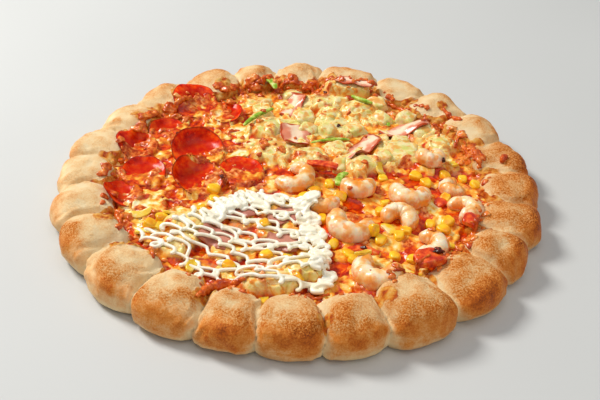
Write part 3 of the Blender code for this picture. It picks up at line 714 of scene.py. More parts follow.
def cheese_fields(x, y, slices):
    """The height of the layer, and the numbers that its material reads."""
    radius = np.hypot(x, y)
    number, share, swell = rim_at(np.degrees(np.arctan2(y, x)))
    weights = quarter_weights(x, y)
    pepperoni, potato, shrimp, mayonnaise = weights.values()
    wide, mid = flat_lumps(x, y, 15, 41.0), flat_lumps(x, y, 7.5, 43.0)
    fine, tiny = flat_lumps(x, y, 3.6, 47.0), flat_lumps(x, y, 1.9, 53.0)
    near_edge = smooth_step(24, 5, CREASE_INNER_RADIUS - BUN_NOSE * swell - radius)
    patches = sum(smooth_step(1.3, 0.6, off(x, y, *patch)) for patch in CHEESE_PATCHES)
    level = 0.14 * pepperoni - 0.42 * potato + 0.10 * shrimp + 0.02 * mayonnaise + 0.10 * near_edge
    sauce = smooth_step(-0.05, 0.22, wide * 0.8 + mid * 0.7 + fine * 0.3 + level - 0.55 * patches)
    clump = flat_lumps(x, y, 13, 71.0) + 0.45 * mid
    level = -0.10 * pepperoni - 0.30 * potato - 0.25 * shrimp - 0.35 * mayonnaise + 0.30 * near_edge
    meat = smooth_step(0.10, 0.30, clump + level)
    tone = 0.36 + 0.34 * mid + 0.26 * fine + 0.20 * wide + 0.08 * near_edge - 0.22 * patches
    tone += 0.14 * pepperoni + 0.22 * potato + 0.22 * shrimp + 0.16 * mayonnaise

    # the layer itself, domed and wavy, with chunks of potato that lift it
    height = CHEESE_TOP + CHEESE_DOME * (1 - (radius / CREASE_INNER_RADIUS) ** 2)
    height += WAVE_HEIGHT * flat_lumps(x, y, WAVE_LENGTH, 3.0)
    floury, edges = np.zeros(len(x)), np.zeros(len(x))
    field = potato * (1 - 0.8 * near_edge) + 0.30 * mayonnaise * (1 - near_edge)
    where = field > 0.05
    chunk, rise = chunk_relief(x[where] + 1.6 * mid[where], y[where] + 1.6 * fine[where], 15)
    height[where] += field[where] * chunk * rise * 0.8
    floury[where] = field[where] * smooth_step(0.35, 0.85, chunk)
    edges[where] = field[where] * 4 * chunk * (1 - chunk)
    height, mounds = potato_mounds(x, y, height, mid, wide)
    for k, (a, b, turn, length, width) in enumerate(BACON, 1):
        low, high = box_height("bacon_%d" % k)
        under = off(x, y, a, b, length + width) < 0.32
        height = np.where(under, np.minimum(height, blend_to(low, high, 0.30)), height)
    floury = np.maximum(floury, mounds * 0.9) * smooth_step(0.44, 0.16, 0.6 * mid + 0.5 * fine + 0.3 * wide)
    sauce *= 1 - 0.95 * np.maximum(mounds, floury)
    plain = 1 - 0.8 * np.maximum(0.8 * mounds, floury)
    height += plain * (1 - sauce) * (1.3 - 1.8 * np.abs(mid) + 0.7 * np.abs(fine))
    height += plain * (0.50 * fine + 0.08 * tiny) - 0.7 * sauce
    height += near_edge * (0.6 + 2.2 * np.maximum(0, fine + 0.4 * mid))

    # where it runs over the slices, is stained by their oil and clings to the shrimp
    height, shown = pepperoni_cover(x, y, height, mid, fine, slices)
    sauce = np.where(shown > 0.3, sauce * 0.8, sauce)
    meat = np.maximum(meat, shown * smooth_step(-0.10, 0.25, clump))
    rings = [smooth_step(1.45, 1.0, off(x, y, a, b, size)) for a, b, turn, size, cup in PEPPERONI]
    oil = np.max(rings, axis=0)
    tone += oil * (0.20 + 0.25 * fine)
    sauce = np.maximum(sauce, oil * smooth_step(0.1, 0.5, wide + mid + 0.2))
    for k, (a, b, turn, size, thick) in enumerate(SHRIMP, 1):
        low, high = box_height("shrimp_%d" % k)
        out = np.abs(off(x, y, a, b, 1) - (size - thick / 2)) - thick / 2
        skirt = np.exp(-np.maximum(out, 0) / 2.2) * (0.75 + 0.5 * wide)
        height = np.maximum(height, blend_to(height, blend_to(low, high, 0.34), skirt))

    # crumbly browned bits, and toasted places
    bumps = np.zeros(len(x))
    where = meat > 0.02
    swayed = x[where] + 2.0 * fine[where]
    bumps[where] = np.maximum(cells(swayed, y[where], 7.5, 4.0), 0.6 * cells(swayed, y[where], 4.6, 8.0))
    height += meat * (2.0 * bumps - 0.4)
    toasted = fine * 0.4 + flat_lumps(x, y, 9, 61.0) + 0.25 * near_edge + 0.12 * mounds
    brown = (1 - 0.4 * floury) * smooth_step(0.24, 0.58, toasted)
    brown = np.maximum(brown, edges * smooth_step(-0.35, 0.15, mid + fine))
    meat = meat * smooth_step(0.05, 0.45, bumps)
    tone = np.clip(tone, 0, 1)
    return height, {"sauce": sauce, "tone": tone, "meat": meat, "brown": brown, "floury": floury}


def make_cheese(cheese_material, slices):
    """The sauce and cheese: a fine grid cut to the rim, shaped, and closed underneath."""
    made = new_piece("melted_cheese_and_sauce", bpy.ops.mesh.primitive_grid_add, x_subdivisions=CHEESE_STEPS,
                     y_subdivisions=CHEESE_STEPS, size=2 * (CREASE_INNER_RADIUS + 1.5) * MM)
    x, y, z = points_of(made).T
    swell = rim_at(np.degrees(np.arctan2(y, x)))[2]
    with editing(made, np.hypot(x, y) > CREASE_INNER_RADIUS - BUN_NOSE * swell + 1.2):
        bpy.ops.mesh.delete(type="VERT")
    points = points_of(made)
    points[:, 2], numbers = cheese_fields(points[:, 0], points[:, 1], slices)
    points[:, :2] += MIDDLE
    move_points(made, points)
    note(made, **numbers)
    with editing(made):
        bpy.ops.mesh.region_to_loop()
        bpy.ops.mesh.extrude_region_move(TRANSFORM_OT_translate={"value": (0, 0, -4 * MM)})
        bpy.ops.transform.resize(value=(1, 1, 0), center_override=(0, 0, (FLOOR + 0.3) * MM))
        bpy.ops.mesh.fill()
        bpy.ops.mesh.select_all(action="SELECT")
        bpy.ops.mesh.normals_make_consistent(inside=False)
    return finish(made, cheese_material, "cheese", "melted_cheese")


def cheese_finish():
    """Melted mozzarella over tomato sauce: oily, cream to gold, with orange-red sauce and toasted specks."""
    made, add, where, sauce, melt, meat, brown, floury = start_material(
        "melted_mozzarella_and_tomato_sauce", "sauce", "tone", "meat", "brown", "floury")
    mottle = add("TexNoise", Vector=where, Scale=per(5), Detail=3.0, Distortion=0.8)
    fleck = add("TexNoise", Vector=where, Scale=per(2.6), Detail=2.0)
    tone = add("Math", mottle, 1.1, melt, operation="MULTIPLY_ADD")
    tone = add("Math", tone, 0.55, operation="SUBTRACT")
    cheese = add("ValToRGB", tone, stops=(
        (0.10, "#FBEFC2"), (0.26, "#F9DC8C"), (0.42, "#F4B94A"), (0.58, "#EC8C22"), (0.82, "#D0580C")))
    red = add("ValToRGB", mottle, stops=(
        (0.32, "#8E1600"), (0.46, "#C02A00"), (0.58, "#DC4A00"), (0.72, "#F08414")))
    crumb = add("ValToRGB", mottle, stops=(
        (0.32, "#D6C05C"), (0.41, "#E6D680"), (0.49, "#F4E4A4"), (0.56, "#F2C868"), (0.65, "#E68E30")))
    roast = add("ValToRGB", fleck, stops=(
        (0.26, "#962A04"), (0.42, "#C64C10"), (0.55, "#E47A30"), (0.70, "#F4B06C")))
    ragged = add("Math", fleck, 0.9, -0.45, operation="MULTIPLY_ADD")
    share = add("Math", sauce, ragged, operation="ADD")
    share = add("MapRange", share, interpolation_type="SMOOTHSTEP", From_Min=0.3, From_Max=0.8)
    colour = add("Mix", share, cheese, red, data_type="RGBA")
    colour = add("Mix", floury, colour, crumb, data_type="RGBA")
    colour = add("Mix", meat, colour, roast, data_type="RGBA")
    toasted = add("Math", brown, fleck, operation="MULTIPLY")
    toasted = add("MapRange", toasted, interpolation_type="SMOOTHSTEP", From_Min=0.25, From_Max=0.62,
                  To_Max=0.7)
    colour = add("Mix", toasted, colour, "#C06A20", data_type="RGBA")
    return complete(made, colour, relief=mottle, strength=0.45, depth=0.8, Roughness=0.20,
                    Specular_IOR_Level=0.32, Subsurface_Weight=0.12, Subsurface_Scale=0.003,
                    Subsurface_Radius=(1.0, 0.5, 0.2))


# Toppings

def make_pepperoni(number, finish_material):
    """A slice whose fat has cupped it: thin lip, shaded bowl."""
    x, y, turn, radius, cup = PEPPERONI[number - 1]
    made = refined_copy("pepperoni_%d" % number, 3)
    points, normals = points_of(made), read(made, "normal")
    centre = MIDDLE + (x, y)
    dx, dy = (points[:, :2] - centre).T
    away, angle = np.hypot(dx, dy) / radius, np.arctan2(dy, dx)
    ruffle = np.sin(3 * angle + number) + 0.6 * np.sin(7 * angle + 2 * number)
    stand = smooth_step(0.62, 1.0, away) * (0.5 + 0.5 * np.cos(angle - math.radians(turn))) ** 2
    points[:, 2] += 0.5 * ruffle * smooth_step(0.6, 1.0, away) + 0.30 * cup * stand
    pull = 1 - 0.012 * cup * stand
    points[:, :2] = blend_to(centre, points[:, :2], pull[:, None])
    move_points(made, points + normals * (0.25 * lumps(points, 5, number))[:, None])
    # bowl: nearness to the middle of the slice, which the material darkens as painted shade inside the cup
    note(made, lip=smooth_step(0.925, 0.975, away / np.percentile(away, 99.5)), bowl=1 - away)
    return finish(made, finish_material, "pepperoni", "pepperoni_%d" % number)


def pepperoni_finish():
    """Baked cured sausage: oily orange-red, fat specks, a thin browned lip, and painted shade that deepens
    the red towards the middle of the bowl.
    """
    made, add, where, lip, bowl = start_material("baked_pepperoni", "lip", "bowl")
    mottle = add("TexNoise", Vector=where, Scale=per(6), Detail=5.0, Roughness=0.6)
    fat = add("TexVoronoi", Vector=where, Scale=per(3.2))
    colour = add("ValToRGB", mottle, stops=(
        (0.30, "#A80C00"), (0.45, "#DE2600"), (0.58, "#F64C06"), (0.75, "#FF7816")))
    spot = add("MapRange", fat, interpolation_type="SMOOTHSTEP", From_Min=0.26, From_Max=0.10, To_Max=0.30)
    colour = add("Mix", spot, colour, "#F08A50", data_type="RGBA")
    # painted shade: a darker red towards the middle of the cupped bowl, in place of the shade inside the cup
    deep = add("MapRange", bowl, interpolation_type="SMOOTHSTEP", From_Min=0.12, From_Max=0.55, To_Max=0.7)
    colour = add("Mix", deep, colour, "#B21602", data_type="RGBA")
    edge = add("Math", lip, 0.8, operation="MULTIPLY")
    colour = add("Mix", edge, colour, "#7E2A0A", data_type="RGBA")
    return complete(made, colour, relief=mottle, strength=0.25, depth=0.5, Roughness=0.24,
                    Specular_IOR_Level=0.15, Subsurface_Weight=0.10, Subsurface_Scale=0.003,
                    Subsurface_Radius=(1.0, 0.12, 0.03))


def make_shrimp(number, finish_material):
    """A peeled shrimp: a round section spun along the C of its body, then tapered and ringed."""
    x, y, turn, outer, thick = SHRIMP[number - 1]
    low, high = box_height("shrimp_%d" % number)
    reach = outer - thick / 2
    span = math.radians(360 - SHRIMP_MOUTH_DEG)
    made = new_piece("peeled_shrimp_%d" % number, bpy.ops.mesh.primitive_circle_add, vertices=SHRIMP_SIDES,
                     radius=thick / 2 * MM, fill_type="NOTHING", location=(reach * MM, 0, 0),
                     rotation=(math.pi / 2, 0, 0))
    bpy.ops.object.transform_apply(location=True, rotation=True)
    with editing(made):
        bpy.ops.mesh.spin(steps=SHRIMP_STATIONS, angle=span, center=(0, 0, 0), axis=(0, 0, -1))
    px, py, level = points_of(made).T
    along = (np.arctan2(py, px) % FULL_TURN) / span
    along = np.clip(np.where(along > 1.2, 0.0, along), 0, 1)
    across = np.hypot(px, py) - reach
    rounded = np.minimum(along / 0.11, (1 - along) / 0.16)
    cap = np.sqrt(np.clip(1 - (1 - np.clip(rounded, 0, 1)) ** 2, 0, 1))
    rings = np.abs(np.sin(along * math.pi * 6.5 + 0.4)) ** 0.6
    size = (0.66 + 0.38 * np.sin(math.pi * (0.16 + 0.72 * along) ** 0.8)) * cap * (0.92 + 0.12 * rings)
    back = np.clip(across / (thick / 2), -1, 1)
    groove = 1 - 0.16 * np.exp(-(level / (thick * 0.10)) ** 2) * smooth_step(0.3, 0.9, back)
    heading = math.radians(turn + SHRIMP_MOUTH_DEG / 2) + span * along
    radius = reach + across * size * groove
    height = (low + high) / 2 + 1.0 + level * size * (1.0 - 0.10 * back) + 1.2 * np.sin(heading + number)
    placed = np.column_stack((x + MIDDLE[0] + radius * np.cos(heading),
                              y + MIDDLE[1] + radius * np.sin(heading), height))
    placed += 0.35 * lumps(placed, 6, 70.0 + number)[:, None] * np.array((0.5, 0.5, 1.0))
    move_points(made, placed)
    note(made, back=back * 0.5 + 0.5, ring=rings)
    close_up(made)
    modify(made, "SUBSURF", levels=1, render_levels=1)
    return finish(made, finish_material, "shrimp", "shrimp_%d" % number)


def shrimp_finish():
    """Cooked peeled shrimp: moist, milky flesh with orange bands along the back, sauce clinging to it."""
    made, add, where, back, ring = start_material("cooked_shrimp", "back", "ring")
    cloud = add("TexNoise", Vector=where, Scale=per(8), Detail=4.0)
    veins = add("TexNoise", Vector=where, Scale=per(2.5), Detail=4.0, Distortion=0.6)
    drop = add("TexNoise", Vector=where, Scale=per(11), Detail=2.0)
    colour = add("ValToRGB", cloud, stops=(
        (0.36, "#FAE6C6"), (0.48, "#F9D8A8"), (0.59, "#F6BC74"), (0.72, "#EE922E")))
    band = add("Math", add("Math", back, ring, operation="MULTIPLY"), veins, operation="MULTIPLY")
    band = add("MapRange", band, interpolation_type="SMOOTHSTEP", From_Min=0.26, From_Max=0.60, To_Max=0.7)
    colour = add("Mix", band, colour, "#F08838", data_type="RGBA")
    glaze = add("MapRange", drop, interpolation_type="SMOOTHSTEP", From_Min=0.50, From_Max=0.58, To_Max=0.85)
    colour = add("Mix", glaze, colour, "#F09420", data_type="RGBA")
    return complete(made, colour, relief=veins, strength=0.18, depth=0.4, Roughness=0.30,
                    Specular_IOR_Level=0.45, Subsurface_Weight=0.3, Subsurface_Scale=0.005,
                    Subsurface_Radius=(1.0, 0.5, 0.22), Coat_Weight=0.2, Coat_Roughness=0.08)


def make_potato(number, finish_material):
    """A soft boiled chunk: rounded edges, broken floury faces."""
    made = refined_copy("potato_%d" % number, 3)
    points, normals = points_of(made), read(made, "normal")
    depth = 0.9 + 0.8 * lumps(points, 9, 80.0 + number) + 0.25 * lumps(points, 3, 90.0)
    points += normals * depth[:, None]
    move_points(made, points)
    low, high = points[:, 2].min(), points[:, 2].max()
    note(made, high=(points[:, 2] - low) / (high - low))
    return finish(made, finish_material, "potato", "potato_%d" % number)


def make_chunks(ground, finish_material):
    """More chunks of potato: blocks with bevelled edges, uneven faces, each leaning its own way."""
    block, faces = model_arrays(soft_block("chunk_model", 3, 2))
    block[:, :2] *= 1 - 0.35 * (block[:, 2:] + 0.2)
    draw = random.Random(61)
    models, places = [], []
    for number, (x, y, turn, length, width, height) in enumerate(CHUNKS):
        points = block * (length, width, height)
        away = points / np.linalg.norm(points, axis=1)[:, None]
        uneven = 3.0 * lumps(points, 9, 170.0 + number) + 0.7 * lumps(points, 3.5, 180.0) + 1.0
        models.append((points + away * uneven[:, None], faces))
        place, normal = ground.over(x, y)
        place.z -= 0.10 * height
        lean = Vector((draw.uniform(-0.45, 0.45), draw.uniform(-0.55, 0.25), 1.0)).normalized()
        places.append((number, lying(place, lean, 1.0, math.radians(turn), 0.0, 1.0), 0.5))
    made = scattered("sunk_potato_chunks", models, places)
    note(made, high=np.tile(block[:, 2] + 0.5, len(CHUNKS)))
    return finish(made, finish_material, "potato")


def potato_finish(name, stops):
    """Boiled, baked potato: floury flesh, browned where it stands up."""
    made, add, where, high = start_material(name, "high")
    mottle = add("TexNoise", Vector=where, Scale=per(7), Detail=5.0)
    toast = add("TexNoise", Vector=where, Scale=per(5), Detail=3.0)
    colour = add("ValToRGB", mottle, stops=stops)
    spot = add("Math", toast, high, operation="MULTIPLY")
    spot = add("MapRange", spot, interpolation_type="SMOOTHSTEP", From_Min=0.44, From_Max=0.58, To_Max=0.8)
    colour = add("Mix", spot, colour, "#E69A38", data_type="RGBA")
    return complete(made, colour, relief=mottle, strength=0.3, depth=0.5, Roughness=0.28,
                    Specular_IOR_Level=0.4, Subsurface_Weight=0.25, Subsurface_Scale=0.004,
                    Subsurface_Radius=(1.0, 0.8, 0.35))


def make_slice(node, finish_material, slot, x, y, turn, length, width):
    """Bacon or ham: a thin rippled slice, with its place across kept for the stripes."""
    made = refined_copy(node, 3)
    points, normals = points_of(made), read(made, "normal")
    points += normals * (0.35 * lumps(points, 6, 101.0))[:, None]
    along, across = turned_to(*(points[:, :2] - MIDDLE - (x, y)).T, turn)
    along, across = along / (length / 2), across / (width / 2)
    points[:, 2] += 0.9 * np.sin(along * 6 + across * 2) * smooth_step(0.1, 1.0, np.abs(across))
    frayed = 1.3 * smooth_step(0.5, 1.0, np.hypot(along, across))
    points[:, 0] += frayed * lumps(points, 7, 161.0)
    points[:, 1] += frayed * lumps(points, 7, 163.0)
    move_points(made, points)
    rim = np.maximum(np.abs(along), np.abs(across)) + 0.16 * lumps(points, 5, 105.0)
    note(made, across=across * 0.5 + 0.5, rim=smooth_step(0.78, 1.02, rim))
    return finish(made, finish_material, slot, node)


def cured_finish(name, lean, fat, edge, roughness):
    """Cured pork: lean streaked with fat across the slice, darker along its crisped edge."""
    made, add, where, across, rim = start_material(name, "across", "rim")
    wander = add("TexNoise", Vector=where, Scale=per(9), Detail=3.0)
    fibre = add("TexNoise", Vector=where, Scale=per(2), Detail=4.0)
    stripe = add("Math", wander, 0.9, across, operation="MULTIPLY_ADD")
    stripe = add("Math", stripe, 8.0, operation="MULTIPLY")
    stripe = add("Math", stripe, operation="SINE")
    stripe = add("MapRange", stripe, interpolation_type="SMOOTHSTEP", From_Min=-1.0, From_Max=1.0)
    meat = add("Mix", stripe, lean, fat, data_type="RGBA")
    crisp = add("Math", rim, wander, operation="MULTIPLY")
    crisp = add("MapRange", crisp, interpolation_type="SMOOTHSTEP", From_Min=0.04, From_Max=0.27, To_Max=1.0)
    colour = add("Mix", crisp, meat, edge, data_type="RGBA")
    return complete(made, colour, relief=fibre, strength=0.2, depth=0.4, Roughness=roughness,
                    Specular_IOR_Level=0.35, Subsurface_Weight=0.06, Subsurface_Scale=0.002,
                    Subsurface_Radius=(1.0, 0.5, 0.3))


def make_cut(node, finish_material, slot, rough=0.3, simple=1):
    """A cut piece of vegetable: its solid with softened, slightly uneven faces."""
    made = refined_copy(node, 2, simple)
    points, normals = points_of(made), read(made, "normal")
    depth = rough * (0.5 * lumps(points, 3.5, 110.0) + lumps(points, 8, 115.0))
    move_points(made, points + normals * depth[:, None])
    return finish(made, finish_material, slot, node)


def wet_finish(name, stops, length, roughness, coat=0.4, soft=0.15):
    """Cooked vegetable flesh: moist, mottled between its own tones."""
    made, add, where = start_material(name)
    mottle = add("TexNoise", Vector=where, Scale=per(length), Detail=4.0)
    colour = add("ValToRGB", mottle, stops=stops)
    return complete(made, colour, relief=mottle, strength=0.2, depth=0.4, Roughness=roughness,
                    Subsurface_Weight=soft, Subsurface_Scale=0.003, Subsurface_Radius=(1.0, 0.6, 0.3),
                    Coat_Weight=coat, Coat_Roughness=0.12)


# Small things

def crumb_models():
    """Four rough lumps of browned meat; the last one is finer, for the largest crumbs."""
    models = []
    for seed in range(4):
        made = new_piece("crumb_model", bpy.ops.mesh.primitive_ico_sphere_add,
                         subdivisions=3 if seed == 3 else 2, radius=0.5 * MM)
        points = points_of(made)
        points *= (1 + 0.75 * lumps(points, 0.45, 5.0 + 7 * seed) + 0.35 * lumps(points, 0.2, seed))[:, None]
        move_points(made, points * (1.0, 0.74, 0.60))
        models.append(model_arrays(made))
    return models


def make_crumbs(ground, finish_material):
    """Browned bacon and cheese crumbs, scattered over each quarter and thickest along the rim."""
    draw = random.Random(23)
    limit = CREASE_INNER_RADIUS - 1.5
    places = []
    for start, end, count, small, large, rimward in CRUMB_FIELDS:
        made = 0
        tries = 0
        while made < count and tries < count * 14:
            tries += 1
            angle = math.radians(draw.uniform(start, end))
            if draw.random() < rimward:
                radius = limit + 2.5 - abs(draw.gauss(0, 7))
            else:
                radius = limit * math.sqrt(draw.uniform(0.02, 1))
            x, y = radius * math.cos(angle), radius * math.sin(angle)
            clump = noise.noise((x / 13, y / 13, 77.0))
            if clump + 0.28 * draw.random() < 0.05 and draw.random() < 0.85:
                continue
            on_slice = any(math.hypot(x - a, y - b) < size for a, b, turn, size, cup in PEPPERONI)
            if on_slice and draw.random() < 0.9:
                continue
            place, normal = ground.over(x, y)
            if place is None:
                continue
            size = draw.uniform(small, large) * (0.7 + 0.6 * draw.random())
            model = 3 if size > 4.4 else draw.randrange(3)
            places.append((model, lying(place, normal, size, draw.uniform(0, 6.28), 0.06), draw.random()))
            made += 1
    made = scattered("browned_crumbs", crumb_models(), places)
    run_together(made, 0.6)
    note(made, shade=0.36 + 0.7 * lumps(points_of(made), 8, 131.0))
    return finish(made, finish_material, "crumbs")


def make_burnt_bits(ground, finish_material):
    """A few bits that are nearly charred."""
    draw = random.Random(29)
    places = []
    for x, y, size in BURNT_BITS:
        place, normal = ground.over(x, y)
        place.z += 0.3
        matrix = lying(place, normal, size, draw.uniform(0, 6.28), 0.10)
        places.append((3, matrix, draw.uniform(-0.85, -0.45)))
    return finish(scattered("burnt_bits", crumb_models(), places), finish_material, "crumbs")


def make_bubbled_edges(ground, finish_material):
    """Ribbons of cheese and sauce that boiled up against the dough and browned there."""
    strands = []
    for number, (line, thick) in enumerate(BUBBLED_EDGES):
        spots = np.array(line, dtype=float)
        steps = np.linspace(0, len(spots) - 1, 8 * len(spots))
        path = np.column_stack([np.interp(steps, range(len(spots)), spots[:, k]) for k in range(2)])
        points = []
        for k, (x, y) in enumerate(path):
            place, normal = ground.over(x, y)
            ends = math.sin(math.pi * (k + 1) / (len(path) + 1)) ** 0.5
            swell = ends * (0.75 + 0.5 * noise.noise((k / 3, number * 4.1, 6.0)))
            points.append((place.x, place.y, place.z + 0.3 * (thick - 3), swell))
        strands.append((points, thick))
    made = tubes("bubbled_edges", strands, 0.7)
    points, normals = points_of(made), read(made, "normal")
    rough = 1.1 * np.abs(lumps(points, 4, 151.0)) + 0.35 * lumps(points, 1.8, 153.0)
    move_points(made, points + normals * rough[:, None])
    note(made, shade=0.22 + 0.5 * lumps(points, 7, 155.0))
    return finish(made, finish_material, "crumbs")


def crumb_finish():
    """Browned bacon and baked cheese crumbs: oily, from rosy brown to dark roast."""
    made, add, where, shade = start_material("browned_bacon_crumbs", "shade")
    mottle = add("TexNoise", Vector=where, Scale=per(2.4), Detail=4.0)
    tone = add("Math", shade, 0.55, mottle, operation="MULTIPLY_ADD")
    tone = add("Math", tone, 0.72, operation="MULTIPLY")
    colour = add("ValToRGB", tone, stops=(
        (0.06, "#3A1206"), (0.22, "#8A2404"), (0.36, "#BA4208"), (0.50, "#D66016"), (0.64, "#E88832"),
        (0.80, "#F2B468")))
    return complete(made, colour, relief=mottle, strength=0.4, depth=0.4, Roughness=0.20,
                    Specular_IOR_Level=0.42, Subsurface_Weight=0.10, Subsurface_Scale=0.002,
                    Subsurface_Radius=(1.0, 0.4, 0.2))


def make_corn(ground, finish_material):
    """Corn kernels: a cushion narrowed to its tip, dimpled on the broad end."""
    points, faces = model_arrays(soft_block("kernel_model", 1, 2))
    x, y, z = points.T
    y *= 1 - 0.32 * smooth_step(0.0, 0.5, x)
    z *= 1 - 0.18 * smooth_step(0.0, 0.5, x)
    x += 0.10 * np.exp(-(y ** 2 + z ** 2) / 0.03) * (x < 0)
    kernel = (points * (1.0, 0.84, 0.64), faces)
    draw = random.Random(31)
    places = []
    for x, y in CORN:
        place, normal = ground.over(x, y)
        size = draw.uniform(7.6, 9.4)
        places.append((0, lying(place, normal, size, draw.uniform(0, 6.28), 0.12, 0.9), draw.random()))
    return finish(scattered("corn_kernels", [kernel], places), finish_material, "corn")


def make_slivers(ground, finish_material):
    """Thin curved strips with softened ends."""
    strip, faces = model_arrays(soft_block("sliver_model", 4, 1))
    strip[:, 1] *= 1 - 0.5 * (2 * strip[:, 0]) ** 4
    models, places = [], []
    for number, (x, y, turn, length, width) in enumerate(SLIVERS):
        points = strip * (length, width, SLIVER_THICKNESS)
        points[:, 1] += 0.12 * length * ((2 * strip[:, 0]) ** 2 - 0.4) * (-1) ** number
        points += (0.5 * lumps(points, 6, 140.0 + number))[:, None]
        models.append((points, faces))
        place, normal = ground.over(x, y)
        place.z += 0.2
        places.append((number, lying(place, normal, 1.0, math.radians(turn), 0.0), 0.5))
    return finish(scattered("yellow_slivers", models, places), finish_material, "corn")


# Mayonnaise

def mayo_passes(draw):
    """The strands squeezed back and forth: plan points, thickness and how high each is heaped."""
    for number in range(MAYO_PASSES + 1):
        base = blend_to(MAYO_INNER_RADIUS, MAYO_OUTER_RADIUS, number / MAYO_PASSES)
        start = math.radians(MAYO_START_DEG + draw.uniform(-2, 3))
        span = math.radians(MAYO_END_DEG) - start
        count = int(base * span / 0.9)
        phase, drift = 0.8 * number + draw.uniform(-0.8, 0.8), draw.uniform(-3.5, 3.5)
        line = []
        for k in range(count + 1):
            along = k / count
            run = base * span * along
            strength = 1.0 + 1.7 * noise.noise((run / 15, number * 7.7, 2.0))
            sway = 2.4 * noise.noise((run / 16, number * 0.35, 8.0))
            turn = FULL_TURN * run / MAYO_WAVE_LENGTH + phase + sway
            scallop = 0.5 * math.sin(turn) + 1.1 * (abs(math.sin(turn / 2)) - 0.6)
            radius = base + drift * math.sin(math.pi * along) + 3.0 * strength * scallop
            radius += 6.0 * noise.noise((run / 24, number * 0.5, 5.0))
            angle = start + span * along + 2.6 * strength * math.sin(turn + 1.2) / base
            line.append((radius * math.cos(angle), radius * math.sin(angle)))
        yield line, MAYO_THICKNESS * draw.uniform(0.85, 1.15), 0.0


def mayo_curls(draw):
    """The curls that pile up at the ends of the passes, as mayo_passes gives its strands."""
    for degrees, first, last, half, count in MAYO_HEAPS:
        for number in range(count):
            radius = first + (last - first) * (number + draw.random()) / count
            x, y = turned_to(radius, half * draw.uniform(-1, 1), -degrees)
            wide, deep = draw.uniform(3.0, 6.5), draw.uniform(1.2, 3.0)
            turned = draw.uniform(-35, 35) + degrees + 90
            first_turn, swept = draw.uniform(0, 6.28), draw.uniform(2.8, 5.6)
            steps = int(swept * (wide + deep) / 2 / 0.8) + 4
            line = []
            for k in range(steps + 1):
                way = first_turn + swept * k / steps
                dx, dy = turned_to(wide * math.cos(way), deep * math.sin(way), -turned)
                line.append((x + dx, y + dy))
            yield line, draw.uniform(2.7, 3.6), draw.uniform(0.3, 1.0)


def neighbours(values, reach, how):
    """For each value what how makes of it and the values within reach."""
    padded = np.pad(values, reach, mode="edge")
    return how([padded[k:k + len(values)] for k in range(2 * reach + 1)], axis=0)


def make_mayonnaise(ground, finish_material):
    """Strands squeezed back and forth, laid over what is under them and run together."""
    draw = random.Random(41)
    strands = []
    for number, (line, thick, heaped) in enumerate((*mayo_passes(draw), *mayo_curls(draw))):
        found = [ground.over(x, y)[0] for x, y in line]
        heights = np.array([CHEESE_TOP if place is None else place.z for place in found])
        eased = neighbours(neighbours(heights, 3, np.max), 4, np.mean)
        points = []
        for k, (x, y) in enumerate(line):
            blob = 0.5 * (heaped == 0.0) * math.exp(-k / 3)
            swell = 1 + 0.22 * noise.noise((k / 6, number * 5.3, 9.0)) + blob
            height = max(eased[k], heights[k]) + thick * (0.30 + 0.6 * heaped)
            points.append((x + MIDDLE[0], y + MIDDLE[1], height, swell))
        strands.append((points, thick))
    made = tubes("mayonnaise_strands", strands, 0.55)
    modify(made, "SMOOTH", factor=0.5, iterations=2)
    return finish(made, finish_material, "mayonnaise")


def mayonnaise_finish():
    """Squeezed mayonnaise: an egg emulsion, ivory white, smooth and glossy."""
    made, add, where = start_material("mayonnaise")
    tint = add("TexNoise", Vector=where, Scale=per(14), Detail=2.0)
    colour = add("ValToRGB", tint, stops=((0.3, "#F6EBCE"), (0.7, "#FCF6E4")))
    return complete(made, colour, Roughness=0.28, Subsurface_Weight=0.25, Subsurface_Scale=0.003,
                    Subsurface_Radius=(1.0, 0.9, 0.7), Coat_Weight=0.2, Coat_Roughness=0.15)


# Camera and light

def place_camera():
    """The photograph's view, rolled a little."""
    above = math.radians(ABOVE_TABLE_DEG)
    back = Vector((0, -math.cos(above), math.sin(above)))
    right = Vector((1, 0, 0))
    up = right.cross(-back)
    side = right * math.cos(ROLL) + up * math.sin(ROLL)
    top = -right * math.sin(ROLL) + up * math.cos(ROLL)
    lens = bpy.data.cameras.new("camera")
    lens.lens = FOCAL_LENGTH
    lens.sensor_width = SENSOR_WIDTH
    lens.clip_start = 0.01
    made = bpy.data.objects.new("camera", lens)
    bpy.context.scene.collection.objects.link(made)
    spot = (Vector(AIM) + back * CAMERA_DISTANCE) * MM
    turned = Matrix((side, top, back)).transposed().to_4x4()
    made.matrix_world = Matrix.Translation(spot) @ turned
    bpy.context.scene.camera = made


def area_light(name, place, size, power, colour):
    """A round soft light that is aimed at the pizza."""
    light = bpy.data.lights.new(name, "AREA")
    light.shape = "DISK"
    light.size = size
    light.energy = power
    light.color = colour
    made = bpy.data.objects.new(name, light)
    made.location = place
    made.rotation_euler = (-Vector(place)).to_track_quat("-Z", "Y").to_euler()
    bpy.context.scene.collection.objects.link(made)


def make_floor():
    """A pale plain table."""
    floor = new_piece("floor", bpy.ops.mesh.primitive_plane_add, size=8.0)
    made, add, where = start_material("painted_table")
    tint = add("TexNoise", Vector=where, Scale=3.0, Detail=2.0)
    colour = add("ValToRGB", tint, stops=((0.3, "#C6C7C5"), (0.7, "#CACBC9")))
    floor.data.materials.append(complete(made, colour, Roughness=0.7))


def light_studio():
    """A soft room with a large window on the left and behind."""
    world = bpy.data.worlds.new("soft_room")
    world.use_nodes = True
    background = world.node_tree.nodes["Background"]
    background.inputs["Color"].default_value = (0.96, 0.98, 1.0, 1.0)
    background.inputs["Strength"].default_value = 0.29
    bpy.context.scene.world = world
    area_light("window", (-1.15, 0.62, 1.35), 0.6, 34.0, (1.0, 0.985, 0.955))
    area_light("ceiling", (0.2, -0.3, 1.9), 1.8, 9.0, (1.0, 0.99, 0.97))
    area_light("fill", (0.9, -1.1, 0.9), 1.2, 2.8, (1.0, 0.96, 0.91))
    bpy.context.scene.view_settings.view_transform = "Standard"


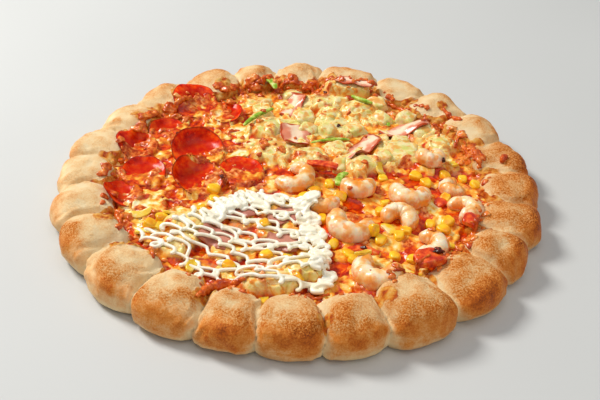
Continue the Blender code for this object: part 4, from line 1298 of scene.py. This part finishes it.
def build():
    potato = potato_finish("baked_potato_flesh", (
        (0.32, "#CEC868"), (0.44, "#E2D684"), (0.54, "#F2E4AE"), (0.62, "#F0CC78"), (0.72, "#E8A84A")))
    golden = potato_finish("golden_potato_flesh", (
        (0.32, "#E6C468"), (0.45, "#F0D080"), (0.58, "#F6DE9C"), (0.74, "#F0C070")))
    bacon = cured_finish("crisped_bacon", "#DC8464", "#F8DCBC", "#B8400A", 0.20)
    ham = cured_finish("cooked_ham", "#B46E5C", "#C88670", "#A4542E", 0.34)
    green = wet_finish("green_pepper_flesh", (
        (0.32, "#6A9812"), (0.45, "#96B82C"), (0.56, "#C0D45E"), (0.68, "#DEE49C")), 4, 0.34, 0.1)
    red = wet_finish("tomato_flesh", (
        (0.34, "#B42006"), (0.46, "#D83C0C"), (0.58, "#EC5E18"), (0.72, "#F49A4C")), 4, 0.24, 0.2)
    kernel = wet_finish("sweet_corn", (
        (0.32, "#EE9A0C"), (0.48, "#F9BA14"), (0.66, "#FDD430")), 6, 0.24, 0.1, 0.25)
    slivers = wet_finish("yellow_pepper_and_onion", (
        (0.36, "#E8B21C"), (0.50, "#F4CE40"), (0.62, "#F3DC98")), 7, 0.25, 0.1, 0.25)
    pepperoni, shrimp, crumb = pepperoni_finish(), shrimp_finish(), crumb_finish()

    dough = make_dough(dough_finish())
    slices = [make_pepperoni(number, pepperoni) for number in range(1, len(PEPPERONI) + 1)]
    cheese = make_cheese(cheese_finish(), Ground(slices))
    pieces = [dough, cheese] + slices
    for number in range(1, len(POTATO) + 1):
        pieces.append(make_potato(number, potato if number < GOLDEN_FROM else golden))
    pieces.append(make_chunks(Ground([cheese]), potato))
    for number in range(1, len(SHRIMP) + 1):
        pieces.append(make_shrimp(number, shrimp))
    for number in range(1, RED_COUNT + 1):
        pieces.append(make_cut("tomato_%d" % number, red, "tomato", 0.75, 2))
    for slot, finish_material, table in (("ham", ham, HAM), ("bacon", bacon, BACON)):
        for number, place in enumerate(table, 1):
            pieces.append(make_slice("%s_%d" % (slot, number), finish_material, slot, *place))
    for number in range(1, GREEN_COUNT + 1):
        pieces.append(make_cut("green_pepper_%d" % number, green, "green_pepper"))

    ground = Ground(pieces)
    make_crumbs(ground, crumb)
    make_burnt_bits(ground, crumb)
    make_bubbled_edges(ground, crumb)
    make_slivers(ground, slivers)
    make_corn(ground, kernel)
    make_mayonnaise(ground, mayonnaise_finish())
    make_floor()
    place_camera()
    light_studio()


build()
